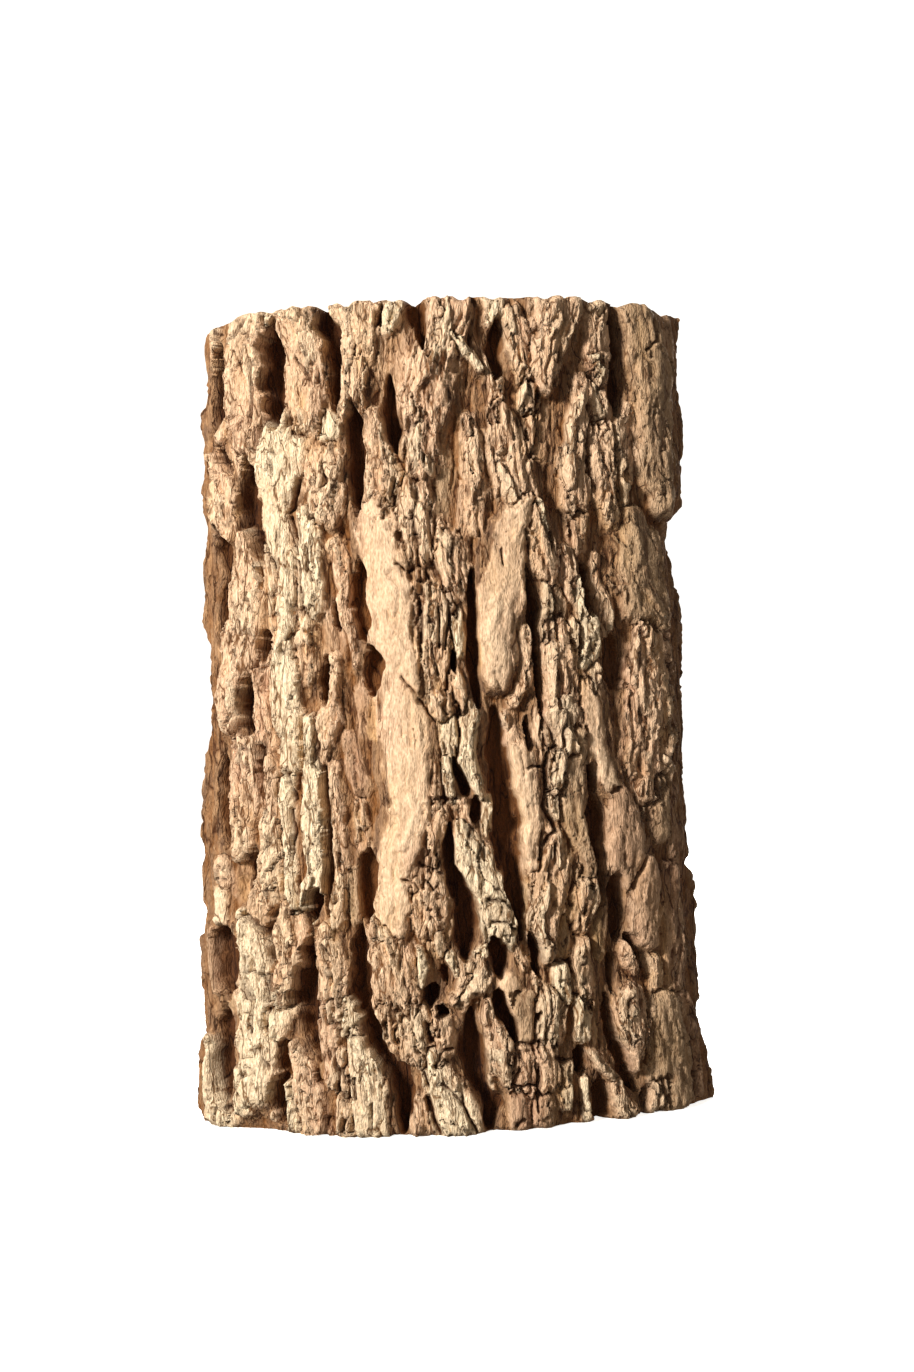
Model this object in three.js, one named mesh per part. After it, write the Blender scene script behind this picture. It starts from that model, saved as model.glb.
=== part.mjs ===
// A curved board of raw cork bark standing on its sawn lower end.
// One natural piece in one solid: deep ridged bark in front, smooth hollow back, two sawn ends.
// Millimetres, +Z up along the trunk, bark face towards -Y, origin mid-thickness on the sawn foot.
import * as THREE from 'three';

const BOARD_HEIGHT = 400;
const CREST_RADIUS = 203;
const BACK_RADIUS = 176;
const ARC_AXIS_Y = 189.5;
const FLOOR_THICKNESS = 13;
const NARROWEST_RIDGE = 2.7;
const FRONT_COLUMNS = 70;
const FRONT_ROWS = 72;
const BACK_COLUMNS = 14;
const BACK_ROWS = 18;
const BACK_INSET = 0.03;
const EDGE_WEAR = 5;
const END_WEAR = 4;
const CORK_COLOUR = '#b48c66';

// Long edges of the board as [up, across], measured on the crest cylinder.
const LEFT_EDGE = [
  [0, -127], [6, -129.5], [20, -129], [36, -127], [46, -125], [50, -123], [66, -123], [80, -124],
  [96, -122.5], [104, -119.5], [125, -120], [140, -119], [180, -116.5], [200, -113], [230, -110.5],
  [280, -111], [320, -111.5], [345, -109], [380, -107], [394, -107.5], [400, -105],
];
const RIGHT_EDGE = [
  [0, 128], [12, 127.5], [22, 125.5], [36, 124], [44, 122], [65, 122], [80, 122.5], [105, 122],
  [116, 121.5], [121, 118.5], [126, 120], [160, 120], [200, 120], [222, 122], [250, 122],
  [265, 118.5], [283, 115.5], [292, 118], [300, 123], [310, 126.5], [345, 127], [365, 126], [400, 127.5],
];

// Bark ridges read by eye off a millimetre grid. Each row is the height over the furrow floor, then
// stations of [across, up, half width] from the ridge's lower end to its upper end.
const RIDGES = [
  [11, [-105, 372, 2.5], [-104, 393, 3]],
  [9, [-106, 337, 2.5], [-98, 353, 3]],
  [14, [-89, 342, 8.5], [-89, 365, 9], [-88, 385, 9.5], [-84, 397, 9]],
  [11, [-77, 383, 3.5], [-75, 397, 4.5]],
  [14, [-60, 345, 8.5], [-58, 365, 9.5], [-58, 382, 10], [-62, 396, 8]],
  [13, [-37, 349, 6], [-34, 362, 7.5], [-32, 378, 9], [-33, 396, 11]],
  [6, [-16, 352, 5], [-15, 370, 6], [-14, 386, 5]],
  [11, [-16, 389, 5], [-15, 397, 6]],
  [14, [-3, 322, 8], [-2, 335, 8], [-1, 350, 10], [3, 365, 10.5], [9, 382, 9], [14, 398, 10]],
  [15, [28, 365, 1.5], [22, 372, 3], [15, 381, 2]],
  [12, [35, 389, 4], [35, 397, 5]],
  [11, [35, 343, 4], [35, 358, 4.5], [33, 368, 3]],
  [11, [50, 362, 4.5], [47, 375, 5.5], [45, 392, 5]],
  [14, [59, 357, 3], [59, 364, 6], [62, 377, 8.5], [66, 390, 10.5], [67, 398, 11]],
  [10, [50, 346, 4], [52, 358, 5]],
  [11, [88, 362, 5], [87, 380, 6], [86, 397, 6.5]],
  [14, [117, 300, 5], [115, 320, 9], [114, 345, 9.5], [115, 365, 9.5], [112, 380, 9],
    [109, 395, 8]],
  [9, [124, 362, 3], [125, 380, 4], [125, 396, 4]],
  [12, [-104, 297, 6], [-104, 310, 7], [-106, 323, 4], [-109, 332, 2]],
  [6, [-103, 323, 3], [-104, 336, 4]],
  [11, [-92, 318, 4], [-92, 330, 6], [-90, 342, 7]],
  [14, [-74, 180, 5], [-74, 192, 5], [-74, 203, 7], [-74, 215, 7], [-75, 232, 5.5],
    [-72, 247, 4.5], [-72, 262, 4.5], [-74, 280, 5.5], [-76, 300, 6.5], [-75, 312, 8.5],
    [-74, 325, 11], [-72, 337, 12]],
  [10, [-84, 232, 2.5], [-80, 245, 3], [-78, 262, 3], [-79, 282, 3]],
  [13, [-53, 303, 9], [-52, 314, 10], [-50, 324, 9]],
  [7, [-52, 326, 7], [-52, 334, 8]],
  [11, [-47, 338, 5], [-47, 344, 5]],
  [12, [-60, 254, 5], [-60, 268, 6], [-61, 282, 6], [-60, 300, 4.5]],
  [14, [-106, 198, 4], [-105, 208, 5], [-103, 220, 6], [-99, 230, 8.5], [-97, 240, 9],
    [-94, 250, 9], [-92, 262, 9], [-91, 275, 8], [-91, 287, 5], [-92, 296, 2]],
  [13, [-24, 302, 7], [-22, 315, 9], [-24, 330, 7], [-26, 345, 4]],
  [14, [-24, 98, 3], [-27, 105, 6], [-26, 112, 7.5], [-23, 122, 9.5], [-22, 132, 9], [-20, 142, 8],
    [-17, 150, 8], [-16, 160, 7.5], [-17, 172, 8], [-16, 185, 8], [-15, 200, 8], [-16, 212, 8],
    [-17, 225, 9], [-19, 238, 10], [-20, 250, 10], [-21, 262, 9.5], [-24, 280, 8.5], [-26, 298, 7]],
  [13, [-6, 272, 7], [-7, 290, 7.5], [-9, 308, 7]],
  [6, [5, 300, 5], [6, 312, 6], [8, 325, 4]],
  [8, [6, 281, 3], [6, 291, 3]],
  [11, [20, 292, 6], [21, 304, 5.5], [22, 312, 5], [22, 325, 4.5], [21, 342, 3]],
  [12, [9, 259, 6], [8, 270, 9], [8, 281, 8]],
  [14, [29, 215, 4], [29, 228, 7], [29, 240, 7.5], [31, 252, 8.5], [34, 262, 9.5], [36, 278, 8],
    [42, 293, 6], [46, 302, 4]],
  [13, [57, 262, 3], [56, 272, 6], [54, 282, 6.5], [50, 292, 5.5], [47, 301, 4]],
  [11, [70, 255, 3], [67, 265, 4], [64, 278, 3.5]],
  [12, [43, 301, 3], [41, 310, 10], [40, 322, 10], [38, 335, 9], [36, 345, 5]],
  [8, [51, 318, 2], [52, 335, 2.5], [54, 352, 3]],
  [6, [58, 322, 3], [58, 345, 3.5]],
  [11, [72, 300, 5.5], [73, 320, 6.5], [76, 340, 6.5], [78, 358, 5]],
  [10, [73, 280, 4], [72, 292, 5]],
  [9, [89, 338, 3], [88, 350, 4], [86, 361, 4]],
  [10, [99, 300, 3], [98, 320, 5], [98, 335, 6], [101, 346, 4]],
  [12, [90, 292, 4], [88, 305, 7], [87, 320, 7], [88, 335, 6]],
  [13, [117, 240, 2], [112, 244, 7], [107, 252, 11], [104, 262, 12], [104, 276, 11], [102, 292, 6]],
  [6, [103, 294, 3], [103, 305, 3]],
  [12, [-86, 192, 6], [-86, 202, 5.5], [-87, 213, 5], [-87, 226, 4]],
  [10, [-65, 222, 4], [-65, 238, 4.5], [-64, 252, 4]],
  [11, [-60, 180, 3], [-57, 190, 3.5], [-55, 200, 5], [-52, 212, 3.5], [-51, 230, 2.5]],
  [10, [-41, 226, 1.5], [-41, 240, 2], [-44, 250, 3.5], [-43, 263, 3], [-48, 285, 4]],
  [6, [-52, 238, 6], [-53, 250, 6]],
  [6, [-33, 198, 8], [-34, 212, 8]],
  [13, [2, 203, 5], [-2, 212, 7], [-1, 225, 8], [-1, 240, 9], [-1, 255, 9], [-1, 269, 5]],
  [10, [12, 230, 3], [10, 238, 4], [10, 249, 3]],
  [11, [9, 203, 4], [9, 214, 4.5], [9, 222, 3]],
  [10, [37, 206, 2.5], [43, 214, 3.5], [45, 226, 3.5], [45, 238, 3]],
  [7, [36, 230, 4], [36, 245, 4]],
  [11, [58, 241, 7], [59, 250, 7], [58, 259, 5]],
  [13, [60, 184, 8], [60, 197, 8], [60, 210, 8.5], [61, 225, 8.5], [60, 239, 7]],
  [10, [68, 206, 4], [68, 222, 4], [69, 240, 4]],
  [12, [74, 224, 4], [77, 232, 6], [76, 240, 5], [74, 250, 4], [72, 262, 3.5]],
  [10, [79, 211, 4], [79, 220, 3.5]],
  [12, [85, 161, 2.5], [82, 168, 4], [79, 178, 4.5], [77, 188, 5], [75, 202, 5], [74, 213, 3]],
  [8, [87, 237, 3.5], [87, 247, 3], [83, 262, 2.5], [82, 275, 2.5]],
  [8, [93, 211, 2.5], [94, 222, 2]],
  [13, [105, 162, 9], [106, 172, 11], [106, 184, 12], [107, 197, 11.5], [107, 212, 10],
    [107, 226, 9], [107, 239, 6]],
  [8, [119, 214, 2], [118, 236, 2.5]],
  [12, [-104, 134, 2.5], [-101, 140, 5], [-100, 150, 5.5], [-98, 162, 7.5], [-97, 175, 7.5],
    [-98, 189, 6]],
  [13, [-92, 103, 2.5], [-92, 110, 6], [-90, 116, 7], [-87, 124, 7], [-86, 134, 6], [-86, 142, 5],
    [-86, 152, 5], [-83, 166, 3.5], [-84, 182, 3]],
  [12, [-74, 110, 3], [-76, 116, 4], [-76, 132, 4], [-77, 146, 4], [-77, 160, 4], [-76, 177, 3]],
  [13, [-66, 105, 2], [-67, 112, 4], [-66, 120, 4.5], [-63, 130, 4], [-64, 142, 5], [-64, 156, 5],
    [-63, 172, 4.5], [-63, 186, 5], [-63, 200, 4]],
  [11, [-55, 102, 3.5], [-54, 110, 4.5], [-53, 120, 4], [-52, 132, 4.5], [-52, 150, 3.5],
    [-53, 165, 3], [-53, 178, 2.5]],
  [12, [7, 181, 4], [5, 192, 4.5], [4, 205, 4]],
  [12, [4, 161, 2.5], [4, 170, 3], [3, 179, 2.5]],
  [11, [-4, 161, 5], [-4, 175, 4]],
  [12, [-7, 130, 4], [-4, 145, 4.5], [-3, 157, 4.5]],
  [11, [11, 147, 3.5], [8, 158, 3]],
  [7, [-40, 168, 5], [-43, 180, 5], [-46, 191, 4]],
  [8, [-40, 141, 3.5], [-41, 150, 4], [-41, 160, 3]],
  [12, [18, 162, 2.5], [16, 169, 3.5], [14, 180, 4.5], [14, 190, 4], [15, 201, 5]],
  [9, [22, 143, 2.5], [22, 151, 3], [22, 160, 2.5]],
  [13, [27, 93, 7], [25, 100, 9.5], [24, 108, 9], [21, 116, 8.5], [17, 124, 8.5], [15, 132, 8],
    [12, 140, 6], [9, 147, 3]],
  [7, [33, 179, 4], [33, 188, 4.5], [33, 198, 4]],
  [13, [43, 128, 4], [43, 142, 5.5], [41, 156, 5.5], [40, 169, 5.5], [39, 181, 5]],
  [11, [51, 181, 3], [50, 190, 4], [50, 199, 3]],
  [12, [57, 163, 5], [57, 171, 5.5], [57, 180, 5]],
  [10, [55, 151, 3.5], [54, 160, 3.5]],
  [13, [49, 84, 4.5], [47, 92, 6], [46, 100, 7], [48, 108, 9], [50, 118, 10.5], [53, 128, 9],
    [53, 140, 5]],
  [12, [70, 119, 3], [72, 125, 4.5], [71, 131, 4.5], [68, 138, 5], [65, 148, 5], [64, 160, 5.5],
    [65, 175, 5.5], [67, 189, 4]],
  [12, [90, 119, 7], [90, 125, 9], [90, 138, 9], [90, 148, 8], [88, 158, 5]],
  [11, [110, 139, 5.5], [110, 152, 5.5], [110, 164, 4]],
  [8, [102, 145, 3], [102, 157, 2.5]],
  [7, [118, 122, 2.5], [118, 158, 2.5]],
  [11, [-114, 123, 4], [-114, 132, 3.5]],
  [10, [-116, 104, 3], [-116, 118, 3.5]],
  [6, [-106, 117, 4], [-105, 128, 4]],
  [13, [-85, 67, 7], [-82, 75, 6], [-79, 84, 6], [-78, 92, 8.5], [-78, 100, 8.5], [-78, 108, 6]],
  [14, [-97, 70, 8], [-97, 82, 7.5], [-98, 92, 7.5], [-100, 100, 7], [-101, 106, 4]],
  [9, [-120, 70, 3.5], [-121, 82, 4], [-121, 96, 3]],
  [6, [-112, 91, 2], [-112, 96, 2.5]],
  [6, [-112, 62, 4], [-110, 70, 5]],
  [13, [-58, 62, 8], [-58, 72, 7.5], [-58, 82, 7.5], [-59, 92, 6], [-60, 100, 3.5]],
  [8, [-46, 104, 3], [-46, 115, 3.5], [-46, 126, 3]],
  [12, [-10, 103, 8], [-10, 112, 9], [-9, 122, 8], [-8, 131, 6]],
  [14, [-26, 66, 10.5], [-28, 76, 10.5], [-30, 88, 9], [-33, 97, 6], [-36, 104, 3]],
  [12, [-14, 72, 2.5], [-14, 84, 2.5], [-15, 90, 2]],
  [9, [-6, 89, 5], [-5, 97, 5]],
  [11, [3, 78, 2.5], [0, 86, 3]],
  [10, [14, 86, 2.5], [19, 88, 3]],
  [9, [37, 80, 3], [33, 88, 2]],
  [12, [6, 66, 5], [12, 73, 8], [11, 80, 6]],
  [8, [57, 85, 5], [57, 95, 6], [58, 105, 6]],
  [11, [55, 64, 5], [55, 76, 4]],
  [11, [30, 61, 2], [29, 66, 4.5], [28, 72, 4.5]],
  [10, [43, 66, 3], [42, 73, 2.5]],
  [11, [66, 100, 6], [68, 108, 8], [70, 117, 7]],
  [12, [101, 86, 5], [100, 95, 7.5], [100, 105, 8], [101, 115, 6], [102, 122, 4]],
  [8, [116, 62, 5], [115, 80, 6], [115, 100, 6], [115, 118, 5]],
  [10, [92, 73, 3], [90, 80, 3], [89, 86, 1.5]],
  [10, [105, 64, 4], [104, 74, 4]],
  [11, [66, 60, 5], [66, 70, 5], [66, 80, 4.5], [67, 88, 3]],
  [7, [76, 80, 3], [76, 92, 4], [77, 100, 3]],
  [11, [-121, 4, 8], [-124, 12, 6], [-125, 22, 4.5], [-126, 32, 3], [-126, 44, 2]],
  [14, [-106, 14, 6], [-101, 22, 9], [-99, 30, 9], [-98, 38, 9], [-98, 45, 8.5], [-97, 54, 8.5],
    [-97, 62, 9], [-97, 72, 8]],
  [13, [-87, 49, 4], [-86, 56, 6], [-86, 66, 6]],
  [6, [-93, 5, 2], [-92, 12, 2]],
  [11, [-81, 4, 4], [-81, 14, 4], [-82, 24, 2.5]],
  [13, [-70, 2, 7], [-71, 10, 7], [-73, 20, 7], [-74, 28, 6], [-76, 36, 4], [-78, 44, 2]],
  [13, [-60, 28, 4], [-60, 40, 3.5], [-60, 50, 4.5], [-60, 62, 5]],
  [13, [-50, 51, 4], [-49, 57, 6], [-50, 64, 3]],
  [14, [-42, 2, 9], [-42, 16, 9], [-42, 26, 8], [-43, 34, 7], [-46, 42, 5], [-48, 50, 3]],
  [13, [-54, 2, 5], [-54, 10, 5], [-54, 20, 5], [-53, 30, 4], [-54, 40, 3]],
  [12, [-30, 45, 4], [-32, 52, 4], [-30, 60, 6]],
  [12, [-15, 35, 4], [-18, 42, 8], [-18, 50, 10], [-18, 58, 8]],
  [12, [-6, 36, 4], [-4, 44, 5], [-5, 52, 6], [-5, 58, 4]],
  [13, [1, 4, 10], [-2, 12, 10], [-5, 20, 9], [-8, 28, 7], [-10, 36, 5]],
  [12, [-18, 2, 4], [-18, 8, 4], [-17, 18, 3]],
  [13, [26, 22, 2], [25, 27, 4], [24, 34, 6.5], [24, 40, 7], [22, 48, 6], [19, 56, 4], [18, 62, 2]],
  [9, [19, 20, 2], [18.5, 27, 2]],
  [12, [36, 46, 4], [36, 55, 5], [35, 62, 5]],
  [12, [47, 44, 7], [47, 54, 8], [47, 64, 6]],
  [12, [33, 22, 6], [34, 30, 6], [35, 40, 4]],
  [12, [46, 22, 5], [46, 30, 6], [45, 38, 6]],
  [11, [31, 4, 5], [31, 15, 5]],
  [11, [43, 4, 5], [44, 14, 5]],
  [10, [54, 10, 3], [55, 17, 4], [56, 28, 4]],
  [12, [64, 44, 3.5], [64, 52, 4], [64, 60, 4]],
  [12, [89, 23, 2.5], [89, 30, 5], [90, 40, 8], [90, 50, 8], [89, 60, 5.5]],
  [11, [112, 5, 9], [110, 14, 10], [110, 26, 10], [108, 38, 10], [108, 50, 9]],
  [8, [125, 8, 4], [124, 20, 4], [122, 35, 4], [120, 55, 3]],
  [11, [104, 4, 6], [104, 14, 6]],
  [11, [79, 21, 2.5], [73, 28, 3], [68, 35, 2]],
  [6, [70, 40, 2.5], [70, 46, 2]],
  [9, [66, 3, 3], [65, 12, 2], [65, 22, 1.2]],
  [11, [86, 2, 5], [83, 8, 4], [82, 16, 3]],
];

function mix(from, to, share) {
  return from + (to - from) * share;
}

function edgeAt(edge, up) {
  for (let i = 1; i < edge.length; i += 1) {
    const [lowUp, lowAcross] = edge[i - 1];
    const [highUp, highAcross] = edge[i];
    if (up <= highUp) {
      return mix(lowAcross, highAcross, (up - lowUp) / (highUp - lowUp));
    }
  }
  return edge[edge.length - 1][1];
}

// Distance from a ridge's spine as a share of its half width: 0 on the spine, 1 at its foot.
function shareFromSpine(run, across, up) {
  let nearest = Infinity;
  for (let i = 1; i < run.length; i += 1) {
    const [ax, az, aw] = run[i - 1];
    const [bx, bz, bw] = run[i];
    const length = Math.hypot(bx - ax, bz - az);
    const along = ((across - ax) * (bx - ax) + (up - az) * (bz - az)) / (length * length);
    const held = Math.min(1, Math.max(0, along));
    const halfWidth = Math.max(NARROWEST_RIDGE, mix(aw, bw, held));
    const distance = Math.hypot(across - mix(ax, bx, held), up - mix(az, bz, held));
    nearest = Math.min(nearest, distance / halfWidth);
  }
  return nearest;
}

// Steep-sided, round-shouldered ridges over a rough floor.
function barkRelief(across, up) {
  const waver = 0.6 * Math.sin(up / 27);
  const floor = 0.9 + 0.9 * Math.sin(across / 4.1 + waver) * Math.sin(up / 33 + across / 19);
  let relief = floor;
  for (const [height, ...run] of RIDGES) {
    const share = shareFromSpine(run, across, up);
    if (share < 1) {
      const shoulder = Math.pow(1 - share ** 4, 0.6);
      relief = Math.max(relief, height * shoulder);
    }
  }
  const crumble = 0.5 * Math.sin(across / 2.3 + up / 15) + 0.4 * Math.sin(up / 5.2 - across / 7);
  return Math.max(0, relief + crumble * Math.min(1, relief / 6));
}

// Ridges are worn a little lower along the long edges and at the sawn ends.
function wornRelief(across, up) {
  const toSide = Math.min(across - edgeAt(LEFT_EDGE, up), edgeAt(RIGHT_EDGE, up) - across);
  const toEnd = Math.min(up, BOARD_HEIGHT - up);
  const sideShare = 0.6 + 0.4 * Math.min(1, Math.max(0, toSide / EDGE_WEAR));
  const endShare = 0.85 + 0.15 * Math.min(1, Math.max(0, toEnd / END_WEAR));
  return barkRelief(across, up) * sideShare * endShare;
}

// The spot at a given radius on the spoke through a place on the crest cylinder.
function onSpoke(across, up, radius) {
  const angle = Math.asin(across / CREST_RADIUS);
  return [radius * Math.sin(angle), ARC_AXIS_Y - radius * Math.cos(angle), up];
}

// Where a spoke has to stand for its bark surface to reach the traced edge.
function spokeThroughEdge(edge, up) {
  const reach = edgeAt(edge, up);
  const radius = BACK_RADIUS + FLOOR_THICKNESS + wornRelief(reach, up);
  return reach * CREST_RADIUS / radius;
}

function frontSpot(columnShare, rowShare) {
  const up = BOARD_HEIGHT * rowShare;
  const left = spokeThroughEdge(LEFT_EDGE, up);
  const right = spokeThroughEdge(RIGHT_EDGE, up);
  const across = mix(left, right, columnShare);
  return onSpoke(across, up, BACK_RADIUS + FLOOR_THICKNESS + wornRelief(across, up));
}

function backSpot(columnShare, rowShare) {
  const up = BOARD_HEIGHT * rowShare;
  const left = spokeThroughEdge(LEFT_EDGE, up);
  const right = spokeThroughEdge(RIGHT_EDGE, up);
  const across = mix(left, right, columnShare);
  const sway = 0.8 * Math.sin(across / 23) * Math.sin(up / 61);
  return onSpoke(across, up, BACK_RADIUS + sway);
}

// Grid corners in order round its border: along the foot, up the right, back along the top, down the left.
function borderShares(columns, rows, inset) {
  const shares = [];
  const low = inset;
  const span = 1 - 2 * inset;
  for (let i = 0; i < columns; i += 1) {
    shares.push({ turn: i / columns, spot: [low + span * i / columns, low] });
  }
  for (let j = 0; j < rows; j += 1) {
    shares.push({ turn: 1 + j / rows, spot: [1 - inset, low + span * j / rows] });
  }
  for (let i = 0; i < columns; i += 1) {
    shares.push({ turn: 2 + i / columns, spot: [1 - inset - span * i / columns, 1 - inset] });
  }
  for (let j = 0; j < rows; j += 1) {
    shares.push({ turn: 3 + j / rows, spot: [low, 1 - inset - span * j / rows] });
  }
  return shares;
}

function buildBoard() {
  const places = [];
  const faces = [];

  function addPlace(spot) {
    places.push(spot);
    return places.length - 1;
  }

  const front = [];
  for (let j = 0; j <= FRONT_ROWS; j += 1) {
    const row = [];
    for (let i = 0; i <= FRONT_COLUMNS; i += 1) {
      row.push(addPlace(frontSpot(i / FRONT_COLUMNS, j / FRONT_ROWS)));
    }
    front.push(row);
  }
  // Each bark cell is split along its flatter diagonal, so ridge shoulders stay clean.
  for (let j = 0; j < FRONT_ROWS; j += 1) {
    for (let i = 0; i < FRONT_COLUMNS; i += 1) {
      const a = front[j][i];
      const b = front[j][i + 1];
      const c = front[j + 1][i + 1];
      const d = front[j + 1][i];
      const acrossAC = Math.abs(places[a][1] - places[c][1]);
      const acrossBD = Math.abs(places[b][1] - places[d][1]);
      if (acrossAC < acrossBD) {
        faces.push([a, b, c], [a, c, d]);
      } else {
        faces.push([a, b, d], [b, c, d]);
      }
    }
  }

  const frontBorder = [];
  for (let i = 0; i < FRONT_COLUMNS; i += 1) {
    frontBorder.push(front[0][i]);
  }
  for (let j = 0; j < FRONT_ROWS; j += 1) {
    frontBorder.push(front[j][FRONT_COLUMNS]);
  }
  for (let i = FRONT_COLUMNS; i > 0; i -= 1) {
    frontBorder.push(front[FRONT_ROWS][i]);
  }
  for (let j = FRONT_ROWS; j > 0; j -= 1) {
    frontBorder.push(front[j][0]);
  }

  // Sawn ends and long edges: one strip of wall from the bark to the back.
  const backShares = borderShares(FRONT_COLUMNS, FRONT_ROWS, 0);
  const backBorder = backShares.map(({ spot }) => addPlace(backSpot(spot[0], spot[1])));
  for (let i = 0; i < frontBorder.length; i += 1) {
    const next = (i + 1) % frontBorder.length;
    faces.push([frontBorder[i], backBorder[i], backBorder[next]]);
    faces.push([frontBorder[i], backBorder[next], frontBorder[next]]);
  }

  // The smooth back: a coarse grid, zipped to the finer border round it.
  const back = [];
  for (let j = 0; j <= BACK_ROWS; j += 1) {
    const row = [];
    for (let i = 0; i <= BACK_COLUMNS; i += 1) {
      const columnShare = BACK_INSET + (1 - 2 * BACK_INSET) * i / BACK_COLUMNS;
      const rowShare = BACK_INSET + (1 - 2 * BACK_INSET) * j / BACK_ROWS;
      row.push(addPlace(backSpot(columnShare, rowShare)));
    }
    back.push(row);
  }
  for (let j = 0; j < BACK_ROWS; j += 1) {
    for (let i = 0; i < BACK_COLUMNS; i += 1) {
      faces.push([back[j][i], back[j + 1][i], back[j + 1][i + 1]]);
      faces.push([back[j][i], back[j + 1][i + 1], back[j][i + 1]]);
    }
  }
  const innerShares = borderShares(BACK_COLUMNS, BACK_ROWS, BACK_INSET);
  const innerBorder = [];
  for (let i = 0; i < BACK_COLUMNS; i += 1) {
    innerBorder.push(back[0][i]);
  }
  for (let j = 0; j < BACK_ROWS; j += 1) {
    innerBorder.push(back[j][BACK_COLUMNS]);
  }
  for (let i = BACK_COLUMNS; i > 0; i -= 1) {
    innerBorder.push(back[BACK_ROWS][i]);
  }
  for (let j = BACK_ROWS; j > 0; j -= 1) {
    innerBorder.push(back[j][0]);
  }
  let outer = 0;
  let inner = 0;
  while (outer < backBorder.length || inner < innerBorder.length) {
    const outerTurn = outer + 1 < backShares.length ? backShares[outer + 1].turn : 4;
    const innerTurn = inner + 1 < innerShares.length ? innerShares[inner + 1].turn : 4;
    const outerHere = backBorder[outer % backBorder.length];
    const innerHere = innerBorder[inner % innerBorder.length];
    const outerIsNext = inner >= innerBorder.length || (outer < backBorder.length && outerTurn <= innerTurn);
    if (outerIsNext) {
      faces.push([outerHere, innerHere, backBorder[(outer + 1) % backBorder.length]]);
      outer += 1;
    } else {
      faces.push([innerHere, innerBorder[(inner + 1) % innerBorder.length], outerHere]);
      inner += 1;
    }
  }

  const geometry = new THREE.BufferGeometry();
  geometry.setAttribute('position', new THREE.Float32BufferAttribute(places.flat(), 3));
  geometry.setIndex(faces.flat());
  geometry.computeVertexNormals();
  return geometry;
}

const cork = new THREE.MeshStandardMaterial({ color: CORK_COLOUR, roughness: 0.95, metalness: 0 });
const board = new THREE.Mesh(buildBoard(), cork);
board.name = 'cork_bark_board';

const part = new THREE.Group();
part.name = 'cork_bark';
part.add(board);

export default part;
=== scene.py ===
"""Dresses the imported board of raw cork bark: ridged face, hollow back, sawn ends, white stage."""

import math

import bpy
import numpy as np
from bpy.props import FloatProperty, FloatVectorProperty, IntProperty, PointerProperty
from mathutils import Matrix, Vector


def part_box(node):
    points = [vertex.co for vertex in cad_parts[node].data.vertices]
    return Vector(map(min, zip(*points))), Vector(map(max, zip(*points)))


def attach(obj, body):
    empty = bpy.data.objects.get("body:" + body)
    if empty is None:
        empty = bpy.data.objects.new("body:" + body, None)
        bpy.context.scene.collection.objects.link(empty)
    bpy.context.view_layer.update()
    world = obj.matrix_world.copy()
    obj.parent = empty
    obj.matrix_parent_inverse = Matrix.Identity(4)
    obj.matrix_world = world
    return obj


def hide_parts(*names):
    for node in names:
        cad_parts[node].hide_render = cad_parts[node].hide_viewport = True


bl_info = {
    "name": "Cork bark board",
    "version": (1, 0, 0),
    "blender": (4, 5, 0),
    "location": "3D View > Sidebar > Cork",
    "description": "Builds a board of raw cork bark with ridges, furrows, flakes and sawn ends",
    "category": "Add Mesh",
}

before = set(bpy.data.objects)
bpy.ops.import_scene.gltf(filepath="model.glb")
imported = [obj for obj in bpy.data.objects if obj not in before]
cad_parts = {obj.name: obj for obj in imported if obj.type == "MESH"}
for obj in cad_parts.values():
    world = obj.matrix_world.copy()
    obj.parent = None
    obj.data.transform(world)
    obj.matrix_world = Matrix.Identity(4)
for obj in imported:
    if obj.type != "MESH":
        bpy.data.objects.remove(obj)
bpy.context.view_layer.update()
BOARD_NODE = "cork_bark_board"
BOARD_LOW, BOARD_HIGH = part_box(BOARD_NODE)

# The image that the camera is framed for, in pixels.
IMAGE_WIDTH = 914
IMAGE_HEIGHT = 1372

MM = 0.001

# Long edges of the board as (up, across) in millimetres, measured on the crest cylinder.
LEFT_EDGE = [
    (0, -127), (6, -129.5), (20, -129), (36, -127), (46, -125), (50, -123), (66, -123), (80, -124),
    (96, -122.5), (104, -119.5), (125, -120), (140, -119), (180, -116.5), (200, -113), (230, -110.5),
    (280, -111), (320, -111.5), (345, -109), (380, -107), (394, -107.5), (400, -105),
]
RIGHT_EDGE = [
    (0, 128), (12, 127.5), (22, 125.5), (36, 124), (44, 122), (65, 122), (80, 122.5), (105, 122),
    (116, 121.5), (121, 118.5), (126, 120), (160, 120), (200, 120), (222, 122), (250, 122),
    (265, 118.5), (283, 115.5), (292, 118), (300, 123), (310, 126.5), (345, 127), (365, 126), (400, 127.5),
]

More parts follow.
